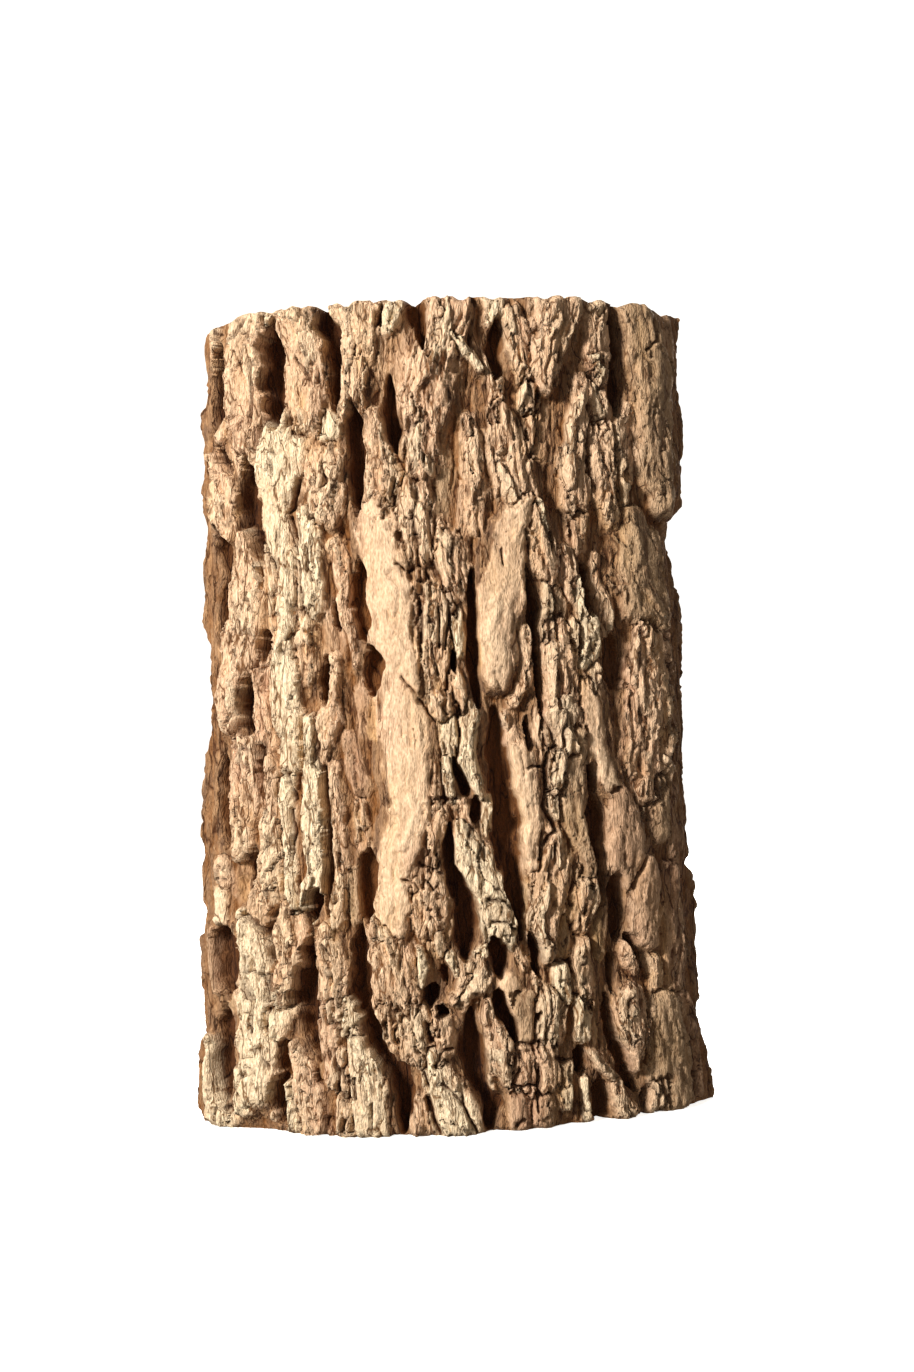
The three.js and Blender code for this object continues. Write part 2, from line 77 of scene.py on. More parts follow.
# Bark ridges: tone, height over the furrow floor, then stations (across, up, half width) in millimetres.
RIDGES = [
    ("tan", 11, [(-105, 372, 2.5), (-104, 393, 3)]),
    ("tan", 9, [(-106, 337, 2.5), (-98, 353, 3)]),
    ("tan", 14, [(-89, 342, 8.5), (-89, 365, 9), (-88, 385, 9.5), (-84, 397, 9)]),
    ("cream", 11, [(-77, 383, 3.5), (-75, 397, 4.5)]),
    ("tan", 14, [(-60, 345, 8.5), (-58, 365, 9.5), (-58, 382, 10), (-62, 396, 8)]),
    ("tan", 13, [(-37, 349, 6), (-34, 362, 7.5), (-32, 378, 9), (-33, 396, 11)]),
    ("brown", 6, [(-16, 352, 5), (-15, 370, 6), (-14, 386, 5)]),
    ("cream", 11, [(-16, 389, 5), (-15, 397, 6)]),
    ("tan", 14, [(-3, 322, 8), (-2, 335, 8), (-1, 350, 10), (3, 365, 10.5), (9, 382, 9),
        (14, 398, 10)]),
    ("cream", 15, [(28, 365, 1.5), (22, 372, 3), (15, 381, 2)]),
    ("cream", 12, [(35, 389, 4), (35, 397, 5)]),
    ("tan", 11, [(35, 343, 4), (35, 358, 4.5), (33, 368, 3)]),
    ("tan", 11, [(50, 362, 4.5), (47, 375, 5.5), (45, 392, 5)]),
    ("tan", 14, [(59, 357, 3), (59, 364, 6), (62, 377, 8.5), (66, 390, 10.5), (67, 398, 11)]),
    ("tan", 10, [(50, 346, 4), (52, 358, 5)]),
    ("tan", 11, [(88, 362, 5), (87, 380, 6), (86, 397, 6.5)]),
    ("cream", 13, [(88, 362, 1.2), (84, 372, 1.5)]),
    ("olive", 14, [(117, 300, 5), (115, 320, 9), (114, 345, 9.5), (115, 365, 9.5), (112, 380, 9),
        (109, 395, 8)]),
    ("brown", 9, [(124, 362, 3), (125, 380, 4), (125, 396, 4)]),
    ("tan", 12, [(-104, 297, 6), (-104, 310, 7), (-106, 323, 4), (-109, 332, 2)]),
    ("brown", 6, [(-103, 323, 3), (-104, 336, 4)]),
    ("tan", 11, [(-92, 318, 4), (-92, 330, 6), (-90, 342, 7)]),
    ("cream", 14, [(-74, 180, 5), (-74, 192, 5), (-74, 203, 7), (-74, 215, 7), (-75, 232, 5.5),
        (-72, 247, 4.5), (-72, 262, 4.5), (-74, 280, 5.5), (-76, 300, 6.5), (-75, 312, 8.5),
        (-74, 325, 11), (-72, 337, 12)]),
    ("tan", 10, [(-84, 232, 2.5), (-80, 245, 3), (-78, 262, 3), (-79, 282, 3)]),
    ("tan", 13, [(-53, 303, 9), (-52, 314, 10), (-50, 324, 9)]),
    ("brown", 7, [(-52, 326, 7), (-52, 334, 8)]),
    ("cream", 11, [(-47, 338, 5), (-47, 344, 5)]),
    ("cream", 12, [(-60, 254, 5), (-60, 268, 6), (-61, 282, 6), (-60, 300, 4.5)]),
    ("tan", 14, [(-106, 198, 4), (-105, 208, 5), (-103, 220, 6), (-99, 230, 8.5), (-97, 240, 9),
        (-94, 250, 9), (-92, 262, 9), (-91, 275, 8), (-91, 287, 5), (-92, 296, 2)]),
    ("tan", 13, [(-24, 302, 7), (-22, 315, 9), (-24, 330, 7), (-26, 345, 4)]),
    ("smooth", 14, [(-24, 98, 3), (-27, 105, 7), (-26, 112, 9), (-23, 122, 11), (-22, 132, 10.5),
        (-19, 142, 9.5), (-16, 150, 9.5), (-14.5, 160, 9), (-16, 172, 9.5), (-16, 185, 9.5), (-15, 200, 9.5),
        (-16, 212, 9.5), (-17, 225, 10.5), (-19, 238, 11), (-20, 250, 11), (-20.5, 262, 11), (-23, 280, 10),
        (-26, 298, 8)]),
    ("tan", 13, [(-6, 272, 7), (-7, 290, 7.5), (-9, 308, 7)]),
    ("olive", 6, [(5, 300, 5), (6, 312, 6), (8, 325, 4)]),
    ("tan", 8, [(6, 281, 3), (6, 291, 3)]),
    ("tan", 11, [(20, 292, 6), (21, 304, 5.5), (22, 312, 5), (22, 325, 4.5), (21, 342, 3)]),
    ("tan", 12, [(9, 259, 6), (8, 270, 9), (8, 281, 8)]),
    ("smooth", 14, [(29, 215, 4), (29, 228, 7), (29, 240, 7.5), (31, 252, 8.5), (34, 262, 9.5),
        (36, 278, 8), (42, 293, 6), (46, 302, 4)]),
    ("tan", 13, [(57, 262, 3), (56, 272, 6), (54, 282, 6.5), (50, 292, 5.5), (47, 301, 4)]),
    ("cream", 14, [(59, 282, 1.5), (55, 292, 1.8), (52, 301, 1.5)]),
    ("tan", 11, [(70, 255, 3), (67, 265, 4), (64, 278, 3.5)]),
    ("tan", 12, [(43, 301, 3), (41, 310, 10), (40, 322, 10), (38, 335, 9), (36, 345, 5)]),
    ("tan", 8, [(51, 318, 2), (52, 335, 2.5), (54, 352, 3)]),
    ("brown", 6, [(58, 322, 3), (58, 345, 3.5)]),
    ("tan", 11, [(72, 300, 5.5), (73, 320, 6.5), (76, 340, 6.5), (78, 358, 5)]),
    ("tan", 10, [(73, 280, 4), (72, 292, 5)]),
    ("tan", 9, [(89, 338, 3), (88, 350, 4), (86, 361, 4)]),
    ("tan", 10, [(99, 300, 3), (98, 320, 5), (98, 335, 6), (101, 346, 4)]),
    ("tan", 12, [(90, 292, 4), (88, 305, 7), (87, 320, 7), (88, 335, 6)]),
    ("olive", 13, [(117, 240, 2), (112, 244, 7), (107, 252, 11), (104, 262, 12), (104, 276, 11),
        (102, 292, 6)]),
    ("brown", 6, [(103, 294, 3), (103, 305, 3)]),
    ("tan", 12, [(-86, 192, 6), (-86, 202, 5.5), (-87, 213, 5), (-87, 226, 4)]),
    ("tan", 10, [(-65, 222, 4), (-65, 238, 4.5), (-64, 252, 4)]),
    ("tan", 11, [(-60, 180, 3), (-57, 190, 3.5), (-55, 200, 5), (-52, 212, 3.5), (-51, 230, 2.5)]),
    ("tan", 10, [(-41, 226, 1.5), (-41, 240, 2), (-44, 250, 3.5), (-43, 263, 3), (-48, 285, 4)]),
    ("brown", 6, [(-52, 238, 6), (-53, 250, 6)]),
    ("brown", 6, [(-33, 198, 8), (-34, 212, 8)]),
    ("tan", 13, [(2, 203, 5), (-2, 212, 7), (-1, 225, 8), (-1, 240, 9), (-1, 255, 9), (-1, 269, 5)]),
    ("cream", 10, [(12, 230, 3), (10, 238, 4), (10, 249, 3)]),
    ("tan", 11, [(9, 203, 4), (9, 214, 4.5), (9, 222, 3)]),
    ("tan", 10, [(37, 206, 2.5), (43, 214, 3.5), (45, 226, 3.5), (45, 238, 3)]),
    ("brown", 7, [(36, 230, 4), (36, 245, 4)]),
    ("ochre", 11, [(58, 241, 7), (59, 250, 7), (58, 259, 5)]),
    ("tan", 13, [(60, 184, 8), (60, 197, 8), (60, 210, 8.5), (61, 225, 8.5), (60, 239, 7)]),
    ("tan", 10, [(68, 206, 4), (68, 222, 4), (69, 240, 4)]),
    ("cream", 12, [(74, 224, 4), (77, 232, 6), (76, 240, 5), (74, 250, 4), (72, 262, 3.5)]),
    ("tan", 10, [(79, 211, 4), (79, 220, 3.5)]),
    ("smooth", 12, [(85, 161, 2.5), (82, 168, 4), (79, 178, 4.5), (77, 188, 5), (75, 202, 5),
        (74, 213, 3)]),
    ("tan", 8, [(87, 237, 3.5), (87, 247, 3), (83, 262, 2.5), (82, 275, 2.5)]),
    ("brown", 8, [(93, 211, 2.5), (94, 222, 2)]),
    ("tan", 13, [(105, 162, 9), (106, 172, 11), (106, 184, 12), (107, 197, 11.5), (107, 212, 10),
        (107, 226, 9), (107, 239, 6)]),
    ("red", 8, [(119, 214, 2), (118, 236, 2.5)]),
    ("tan", 12, [(-104, 134, 2.5), (-101, 140, 5), (-100, 150, 5.5), (-98, 162, 7.5), (-97, 175, 7.5),
        (-98, 189, 6)]),
    ("tan", 13, [(-92, 103, 2.5), (-92, 110, 6), (-90, 116, 7), (-87, 124, 7), (-86, 134, 6),
        (-86, 142, 5), (-86, 152, 5), (-83, 166, 3.5), (-84, 182, 3)]),
    ("cream", 12, [(-74, 110, 3), (-76, 116, 4), (-76, 132, 4), (-77, 146, 4), (-77, 160, 4),
        (-76, 177, 3)]),
    ("cream", 13, [(-66, 105, 2), (-67, 112, 4), (-66, 120, 4.5), (-63, 130, 4), (-64, 142, 5),
        (-64, 156, 5), (-63, 172, 4.5), (-63, 186, 5), (-63, 200, 4)]),
    ("tan", 11, [(-55, 102, 3.5), (-54, 110, 4.5), (-53, 120, 4), (-52, 132, 4.5), (-52, 150, 3.5),
        (-53, 165, 3), (-53, 178, 2.5)]),
    ("cream", 12, [(7, 181, 4), (5, 192, 4.5), (4, 205, 4)]),
    ("cream", 12, [(4, 161, 2.5), (4, 170, 3), (3, 179, 2.5)]),
    ("tan", 11, [(-4, 161, 5), (-4, 175, 4)]),
    ("tan", 12, [(-7, 130, 4), (-4, 145, 4.5), (-3, 157, 4.5)]),
    ("tan", 11, [(11, 147, 3.5), (8, 158, 3)]),
    ("brown", 7, [(-40, 168, 5), (-43, 180, 5), (-46, 191, 4)]),
    ("tan", 8, [(-40, 141, 3.5), (-41, 150, 4), (-41, 160, 3)]),
    ("cream", 12, [(18, 162, 2.5), (16, 169, 3.5), (14, 180, 4.5), (14, 190, 4), (15, 201, 5)]),
    ("cream", 9, [(22, 143, 2.5), (22, 151, 3), (22, 160, 2.5)]),
    ("cream", 13, [(27, 93, 7), (25, 100, 9.5), (24, 108, 9), (21, 116, 8.5), (17, 124, 8.5),
        (15, 132, 8), (12, 140, 6), (9, 147, 3)]),
    ("tan", 7, [(33, 179, 4), (33, 188, 4.5), (33, 198, 4)]),
    ("smooth", 13, [(43, 128, 4), (43, 142, 5.5), (41, 156, 5.5), (40, 169, 5.5), (39, 181, 5)]),
    ("smooth", 11, [(51, 181, 3), (50, 190, 4), (50, 199, 3)]),
    ("tan", 12, [(57, 163, 5), (57, 171, 5.5), (57, 180, 5)]),
    ("tan", 10, [(55, 151, 3.5), (54, 160, 3.5)]),
    ("tan", 13, [(49, 84, 4.5), (47, 92, 6), (46, 100, 7), (48, 108, 9), (50, 118, 10.5), (53, 128, 9),
        (53, 140, 5)]),
    ("olive", 12, [(70, 119, 3), (72, 125, 4.5), (71, 131, 4.5), (68, 138, 5), (65, 148, 5),
        (64, 160, 5.5), (65, 175, 5.5), (67, 189, 4)]),
    ("purple", 12, [(90, 119, 7), (90, 125, 9), (90, 138, 9), (90, 148, 8), (88, 158, 5)]),
    ("olive", 11, [(110, 139, 5.5), (110, 152, 5.5), (110, 164, 4)]),
    ("tan", 8, [(102, 145, 3), (102, 157, 2.5)]),
    ("red", 7, [(118, 122, 2.5), (118, 158, 2.5)]),
    ("tan", 11, [(-114, 123, 4), (-114, 132, 3.5)]),
    ("cream", 10, [(-116, 104, 3), (-116, 118, 3.5)]),
    ("brown", 6, [(-106, 117, 4), (-105, 128, 4)]),
    ("tan", 13, [(-85, 67, 7), (-82, 75, 6), (-79, 84, 6), (-78, 92, 8.5), (-78, 100, 8.5),
        (-78, 108, 6)]),
    ("cream", 14, [(-97, 70, 8), (-97, 82, 7.5), (-98, 92, 7.5), (-100, 100, 7), (-101, 106, 4)]),
    ("brown", 9, [(-120, 70, 3.5), (-121, 82, 4), (-121, 96, 3)]),
    ("cream", 6, [(-112, 91, 2), (-112, 96, 2.5)]),
    ("olive", 6, [(-112, 62, 4), (-110, 70, 5)]),
    ("tan", 13, [(-58, 62, 8), (-58, 72, 7.5), (-58, 82, 7.5), (-59, 92, 6), (-60, 100, 3.5)]),
    ("olive", 8, [(-46, 104, 3), (-46, 115, 3.5), (-46, 126, 3)]),
    ("tan", 12, [(-10, 103, 8), (-10, 112, 9), (-9, 122, 8), (-8, 131, 6)]),
    ("tan", 14, [(-26, 66, 10.5), (-28, 76, 10.5), (-30, 88, 9), (-33, 97, 6), (-36, 104, 3)]),
    ("cream", 12, [(-14, 72, 2.5), (-14, 84, 2.5), (-15, 90, 2)]),
    ("tan", 9, [(-6, 89, 5), (-5, 97, 5)]),
    ("cream", 11, [(3, 78, 2.5), (0, 86, 3)]),
    ("tan", 9, [(3, 101, 1.5), (5, 108, 1.5), (7, 113, 1)]),
    ("cream", 10, [(14, 86, 2.5), (19, 88, 3)]),
    ("tan", 9, [(37, 80, 3), (33, 88, 2)]),
    ("tan", 12, [(6, 66, 5), (12, 73, 8), (11, 80, 6)]),
    ("olive", 8, [(57, 85, 5), (57, 95, 6), (58, 105, 6)]),
    ("cream", 11, [(55, 64, 5), (55, 76, 4)]),
    ("smooth", 11, [(30, 61, 2), (29, 66, 4.5), (28, 72, 4.5)]),
    ("tan", 10, [(43, 66, 3), (42, 73, 2.5)]),
    ("tan", 11, [(66, 100, 6), (68, 108, 8), (70, 117, 7)]),
    ("purple", 12, [(101, 86, 5), (100, 95, 7.5), (100, 105, 8), (101, 115, 6), (102, 122, 4)]),
    ("red", 8, [(116, 62, 5), (115, 80, 6), (115, 100, 6), (115, 118, 5)]),
    ("tan", 10, [(92, 73, 3), (90, 80, 3), (89, 86, 1.5)]),
    ("tan", 10, [(105, 64, 4), (104, 74, 4)]),
    ("tan", 11, [(66, 60, 5), (66, 70, 5), (66, 80, 4.5), (67, 88, 3)]),
    ("olive", 7, [(76, 80, 3), (76, 92, 4), (77, 100, 3)]),
    ("cream", 11, [(-121, 4, 8), (-124, 12, 6), (-125, 22, 4.5), (-126, 32, 3), (-126, 44, 2)]),
    ("cream", 14, [(-106, 14, 6), (-101, 22, 9), (-99, 30, 9), (-98, 38, 9), (-98, 45, 8.5),
        (-97, 54, 8.5), (-97, 62, 9), (-97, 72, 8)]),
    ("cream", 13, [(-87, 49, 4), (-86, 56, 6), (-86, 66, 6)]),
    ("tan", 6, [(-93, 5, 2), (-92, 12, 2)]),
    ("cream", 11, [(-81, 4, 4), (-81, 14, 4), (-82, 24, 2.5)]),
    ("tan", 13, [(-70, 2, 7), (-71, 10, 7), (-73, 20, 7), (-74, 28, 6), (-76, 36, 4), (-78, 44, 2)]),
    ("tan", 13, [(-60, 28, 4), (-60, 40, 3.5), (-60, 50, 4.5), (-60, 62, 5)]),
    ("cream", 13, [(-50, 51, 4), (-49, 57, 6), (-50, 64, 3)]),
    ("cream", 14, [(-42, 2, 9), (-42, 16, 9), (-42, 26, 8), (-43, 34, 7), (-46, 42, 5), (-48, 50, 3)]),
    ("tan", 13, [(-54, 2, 5), (-54, 10, 5), (-54, 20, 5), (-53, 30, 4), (-54, 40, 3)]),
    ("tan", 12, [(-30, 45, 4), (-32, 52, 4), (-30, 60, 6)]),
    ("tan", 12, [(-15, 35, 4), (-18, 42, 8), (-18, 50, 10), (-18, 58, 8)]),
    ("tan", 12, [(-6, 36, 4), (-4, 44, 5), (-5, 52, 6), (-5, 58, 4)]),
    ("cream", 13, [(1, 4, 10), (-2, 12, 10), (-5, 20, 9), (-8, 28, 7), (-10, 36, 5)]),
    ("tan", 12, [(-18, 2, 4), (-18, 8, 4), (-17, 18, 3)]),
    ("tan", 13, [(26, 22, 2), (25, 27, 4), (24, 34, 6.5), (24, 40, 7), (22, 48, 6), (19, 56, 4),
        (18, 62, 2)]),
    ("tan", 9, [(19, 20, 2), (18.5, 27, 2)]),
    ("olive", 12, [(36, 46, 4), (36, 55, 5), (35, 62, 5)]),
    ("tan", 12, [(47, 44, 7), (47, 54, 8), (47, 64, 6)]),
    ("tan", 12, [(33, 22, 6), (34, 30, 6), (35, 40, 4)]),
    ("tan", 12, [(46, 22, 5), (46, 30, 6), (45, 38, 6)]),
    ("brown", 11, [(31, 4, 5), (31, 15, 5)]),
    ("brown", 11, [(43, 4, 5), (44, 14, 5)]),
    ("ochre", 10, [(54, 10, 3), (55, 17, 4), (56, 28, 4)]),
    ("cream", 12, [(64, 44, 3.5), (64, 52, 4), (64, 60, 4)]),
    ("tan", 12, [(89, 23, 2.5), (89, 30, 5), (90, 40, 8), (90, 50, 8), (89, 60, 5.5)]),
    ("olive", 11, [(112, 5, 9), (110, 14, 10), (110, 26, 10), (108, 38, 10), (108, 50, 9)]),
    ("red", 8, [(125, 8, 4), (124, 20, 4), (122, 35, 4), (120, 55, 3)]),
    ("tan", 11, [(104, 4, 6), (104, 14, 6)]),
    ("tan", 11, [(79, 21, 2.5), (73, 28, 3), (68, 35, 2)]),
    ("olive", 6, [(70, 40, 2.5), (70, 46, 2)]),
    ("cream", 9, [(66, 3, 3), (65, 12, 2), (65, 22, 1.2)]),
    ("tan", 11, [(86, 2, 5), (83, 8, 4), (82, 16, 3)]),
]

# Dark furrows between the ridges: depth under the floor, then stations (across, up, half width).
FURROWS = [
    (4.5, [(-75, 341, 4), (-75, 362, 5.5), (-74.5, 381, 5.5), (-72, 395, 3)]),
    (4, [(-108.5, 343, 2), (-107, 353, 4), (-106, 365, 4), (-104.5, 375, 3), (-102, 388, 1.5)]),
    (3, [(-102, 322, 1.5), (-104, 330, 2.5), (-107, 338, 1.5)]),
    (3, [(-14.5, 328, 2), (-16, 338, 4), (-17.5, 352, 3.5), (-17, 365, 2)]),
    (3.5, [(-34.5, 298, 2), (-35, 308, 3.8), (-35, 325, 4.3), (-36, 344, 4), (-36.5, 352, 2)]),
    (4, [(-44, 350, 2.5), (-44, 385, 3.5), (-48, 392, 6), (-49, 399, 7)]),
    (1, [(0, 375, 1.5), (-2, 390, 5), (-2, 399, 6.5)]),
    (2, [(36, 362, 3), (37, 375, 4), (37, 388, 3.5)]),
    (4, [(97, 345, 3), (97.5, 362, 3.5), (98, 395, 3.5)]),
    (4, [(-84.5, 266, 1), (-84.5, 277, 2), (-86, 288, 3.5), (-88.5, 296, 4.5), (-91.5, 304, 6.2),
         (-91.5, 319, 5.8), (-91, 332, 2.5)]),
    (3, [(-111, 238, 2), (-109, 250, 4), (-108, 262, 4.5), (-106, 275, 4), (-107.5, 288, 5),
         (-107.5, 298, 3)]),
    (4, [(-87, 227, 2), (-85.5, 236, 3), (-83.5, 246, 2)]),
    (3.5, [(-97, 196, 3.5), (-97, 210, 3.5), (-94.5, 222, 2.5)]),
    (3.5, [(-56, 208, 2), (-56.5, 220, 3), (-55, 232, 2)]),
    (4, [(-47.5, 244, 2), (-47.5, 256, 2)]),
    (1, [(-32, 213, 5), (-31, 224, 5.5), (-31, 235, 4)]),
    (0, [(-34.5, 238, 4), (-36, 256, 4.5), (-36, 275, 4)]),
    (4, [(9.5, 222, 1.8), (9.5, 231, 1.8)]),
    (3, [(19, 205, 3), (19, 230, 3.2), (18.5, 252, 3), (19, 270, 2.5)]),
    (3.5, [(51, 200, 2), (50.5, 225, 2.3), (49, 245, 3), (48, 262, 3), (46.5, 270, 2)]),
    (3.5, [(77, 246, 3), (77, 258, 4), (75.5, 270, 3)]),
    (0.5, [(89, 210, 4), (89, 236, 4.5)]),
    (3.5, [(-114, 136, 2.5), (-113.5, 148, 4.5), (-113, 162, 5), (-112.5, 176, 4.5), (-112, 190, 2.5)]),
    (4, [(-89, 161, 2), (-88.5, 176, 2.7), (-89, 190, 2.3)]),
    (3, [(-68, 178, 1.4), (-67.5, 195, 1.5)]),
    (3, [(-58.5, 106, 2), (-57.5, 130, 2.7), (-57.5, 155, 2.6), (-57.5, 178, 2)]),
    (4, [(3, 115, 3), (3, 130, 3.2), (2.5, 147, 2.2)]),
    (4, [(7, 181, 1.6), (9.5, 172, 2.8), (11.5, 162, 2.8)]),
    (2.5, [(15.5, 149, 3.2), (16.5, 160, 3)]),
    (2, [(37, 92, 3), (36.5, 105, 4), (34, 120, 7), (31, 140, 8), (30, 160, 6.5), (29, 180, 5.5),
         (28, 200, 6)]),
    (3.5, [(43.5, 182, 2), (43.5, 198, 2)]),
    (3.5, [(75, 160, 3), (75, 175, 3)]),
    (1.5, [(77, 105, 3.5), (77.5, 120, 3), (76.5, 140, 4.5), (75.5, 158, 4)]),
    (2.5, [(-101.5, 106, 2), (-98, 116, 2.8), (-96.5, 128, 3), (-96, 139, 2.2)]),
    (4, [(-88.5, 77, 1.5), (-87, 84, 1.8), (-88, 90, 1.8), (-89, 98, 2), (-87, 105, 1.8),
         (-84, 112, 1.5)]),
    (3.5, [(-115, 64, 3.5), (-115, 72, 6.5), (-115.5, 84, 7.5), (-115.5, 95, 6.5), (-116, 101, 3)]),
    (3.5, [(-67, 104, 2.5), (-65, 112, 3.5), (-63.5, 120, 2.5)]),
    (4, [(-67, 34, 1.2), (-69, 44, 3.8), (-71.5, 56, 6), (-72, 67, 6.8), (-71, 79, 5), (-69.5, 91, 3),
         (-68.5, 100, 1.5)]),
    (1.5, [(-38, 102, 4), (-38.5, 120, 5), (-38, 138, 4.5)]),
    (3, [(-43.5, 62, 5), (-44, 80, 5.5), (-43.5, 100, 4.5)]),
    (4, [(-26, 2, 4), (-25, 12, 4.2), (-25, 22, 4.5), (-27, 30, 4.5), (-33, 37, 4), (-38, 46, 4),
         (-39, 55, 4), (-42, 66, 4.5)]),
    (4, [(8, 85, 5), (9, 100, 6.5), (8, 115, 5), (5, 128, 3)]),
    (4, [(26, 74, 4), (25, 84, 5), (22, 94, 2.5)]),
    (3.5, [(44, 72, 2), (43.5, 84, 2.4), (41, 94, 2)]),
    (5, [(-9.5, 63, 4), (-9.5, 71, 4)]),
    (4, [(-1, 57, 2), (-6, 61, 2.5)]),
    (1.5, [(-1.5, 72, 1.8), (-4, 80, 3)]),
    (3.5, [(97.5, 73, 3), (94, 82, 3), (91, 91, 2.5)]),
    (2.5, [(86, 88, 4), (86, 103, 4.5), (85.5, 118, 4)]),
    (3, [(82, 62, 2), (82.5, 80, 2)]),
    (4, [(-119, 10, 1.5), (-119.5, 22, 5), (-119, 36, 6.5), (-118.5, 50, 6), (-118, 60, 4)]),
    (3, [(-90, 5, 4), (-89.5, 15, 5), (-88, 28, 3)]),
    (0.5, [(-85, 28, 3.5), (-84.5, 40, 3.2), (-83, 47, 2)]),
    (4, [(17, 3, 6), (18, 13, 6), (13, 21, 4), (10, 33, 6), (9, 45, 6.5), (10, 58, 4)]),
    (4, [(31.5, 43, 1.2), (29.5, 50, 3), (26, 58, 4), (23.5, 67, 3.5)]),
    (4, [(64, 25, 3), (64, 38, 2.5)]),
    (3.5, [(74, 0, 4), (74.5, 12, 4), (73, 20, 3)]),
    (2.5, [(92, 14, 3), (86, 24, 4), (81, 38, 3.5), (79.5, 52, 3), (79, 60, 2.5)]),
    (3.5, [(96, 0, 2), (96, 13, 2)]),
]

# Open cracks across the plates: width, then points (across, up).
CRACKS = [
    (1.2, [(-84.5, 376), (-83.5, 362), (-85, 348)]),
    (1, [(-62, 374), (-54, 361)]),
    (1, [(-59, 382), (-56, 376)]),
    (1.6, [(-9, 298), (-8, 285), (-7, 272)]),
    (1.4, [(-17, 273), (-12, 271), (-7, 271.5), (-3, 270), (0, 263)]),
    (2, [(-6.5, 254), (-5.5, 245), (-5, 236)]),
    (1.2, [(-17, 220), (-9, 210), (-2, 197)]),
    (1, [(1, 252), (2, 232)]),
    (1, [(7, 250), (5, 232)]),
    (1, [(-1, 234), (1, 221)]),
    (1, [(-100, 259), (-95, 250), (-93, 243)]),
    (1, [(-92, 262), (-88, 254)]),
    (1, [(-76, 176), (-73, 163)]),
    (1.4, [(-74, 158), (-73, 146), (-74.5, 133)]),
    (1.8, [(52, 180), (51, 165), (49, 155), (54, 148), (55, 142), (51, 140), (47, 130)]),
    (1.2, [(42, 173), (50, 174)]),
    (1.2, [(50, 199), (54, 190), (55, 183)]),
    (1, [(34, 279), (34.5, 271)]),
    (1.4, [(0, 161), (6, 161)]),
    (1.4, [(110, 375), (116, 381), (117, 390)]),
    (1.2, [(-64, 318), (-66, 305), (-69, 302)]),
    (1.2, [(-68, 300), (-66, 288), (-66, 281)]),
    (1.2, [(-66, 278), (-65, 263)]),
    (1, [(-61, 285), (-61, 275), (-60, 268)]),
    (1.2, [(-22, 388), (-20, 397)]),
    (1.6, [(-76.5, 110), (-71, 109.5), (-68, 104)]),
    (2.2, [(-100.5, 107), (-97, 105.5), (-94, 101.5), (-91, 99.5)]),
    (1.2, [(-101, 107), (-105, 104), (-107.5, 99)]),
    (1.2, [(-13, 130), (-9, 128), (-4, 127), (0, 133)]),
    (1.2, [(-4, 127), (-1, 124)]),
    (1.2, [(-20, 122), (-15, 121.5), (-13, 119), (-17, 115)]),
    (1, [(-9, 122), (-6, 118.5), (-4, 121)]),
    (1.4, [(21, 113), (31, 106)]),
    (1.4, [(22, 101), (33, 97)]),
    (1.6, [(52, 79), (60, 80)]),
    (1.3, [(-121, 10), (-121, 5), (-123, 0)]),
    (2, [(-119, 10), (-113, 8)]),
    (1, [(-97, 66), (-98, 50)]),
    (1.8, [(-96, 41), (-92, 32)]),
    (1.4, [(-102, 32), (-98.5, 29)]),
    (1.2, [(-108, 20), (-105, 12)]),
    (1.4, [(-55, 56), (-52, 51), (-48, 49), (-44, 49.5)]),
    (1.5, [(-58, 42), (-58, 34), (-56, 29), (-57, 22), (-59, 18)]),
    (1.5, [(-52, 46), (-51, 36), (-54, 31)]),
    (1.3, [(-51, 28), (-49, 18)]),
    (1, [(-48, 29), (-47, 18)]),
    (2, [(-53, 9), (-56, 2)]),
    (1, [(-40, 16), (-40, 2)]),
    (1.2, [(-69, 30), (-65, 25)]),
    (2, [(-64, 8), (-65, 0)]),
    (1.6, [(-33, 56), (-32, 48)]),
    (2, [(-12, 55), (-10.5, 44)]),
    (1.4, [(-8, 34), (-6, 38), (-2, 41), (0, 41)]),
    (2, [(-15, 30), (-13, 24)]),
    (2.6, [(-14, 18), (-11, 11), (-7, 1)]),
    (1.5, [(-5, 26), (0, 19), (5, 10), (10, 1)]),
    (1.5, [(41, 30), (41, 20), (41, 8)]),
    (1.2, [(32, 30), (28, 22)]),
    (1.2, [(28, 22), (38, 21)]),
    (1.2, [(43, 45), (42, 38)]),
    (1.8, [(50, 34), (54, 32), (60, 32)]),
    (1.5, [(33, 7), (30, 2)]),
]

# How much wider than its traced line a ridge stands at its foot.
RIDGE_SPREAD = 1.28

# The bark between the ridges, in millimetres: its mean height over the furrow floor and its sway, and the
# skirt that hangs from a ridge's side, as a share of the ridge's height, with its width.
FLOOR_RISE, FLOOR_SWAY = 4.0, 1.6
SKIRT, SMOOTH_SKIRT, SKIRT_WIDTH = 0.56, 0.86, 7.5

# The power of the mean that lets the highest of floor and skirts show without a step between them.
SKIRT_BLEND = 6

# How far past its stations a ridge, a furrow or a crack can reach, in millimetres.
RIDGE_MARGIN, FURROW_MARGIN, CRACK_MARGIN = 14, 12, 5

# Seams between plates of one height, and the thin layers that cork peels in, in millimetres.
SEAM_DEPTH, SEAM_STEP, SEAM_FROM = 3.6, 1.3, 4
LAYER_HEIGHT, LAYER_SHARE = 1.7, 0.8

# Splits in the plates and lenticels of the back, in millimetres: spacing across and along, and depth.
SPLIT_WIDTH, SPLIT_LENGTH, SPLIT_DEPTH = 7, 30, 3.0
LENTICEL_WIDTH, LENTICEL_LENGTH, LENTICEL_DEPTH = 7, 16, 0.7

# Bark this high over the furrow floor counts as a full plate, in millimetres.
PLATE_HEIGHT = 9

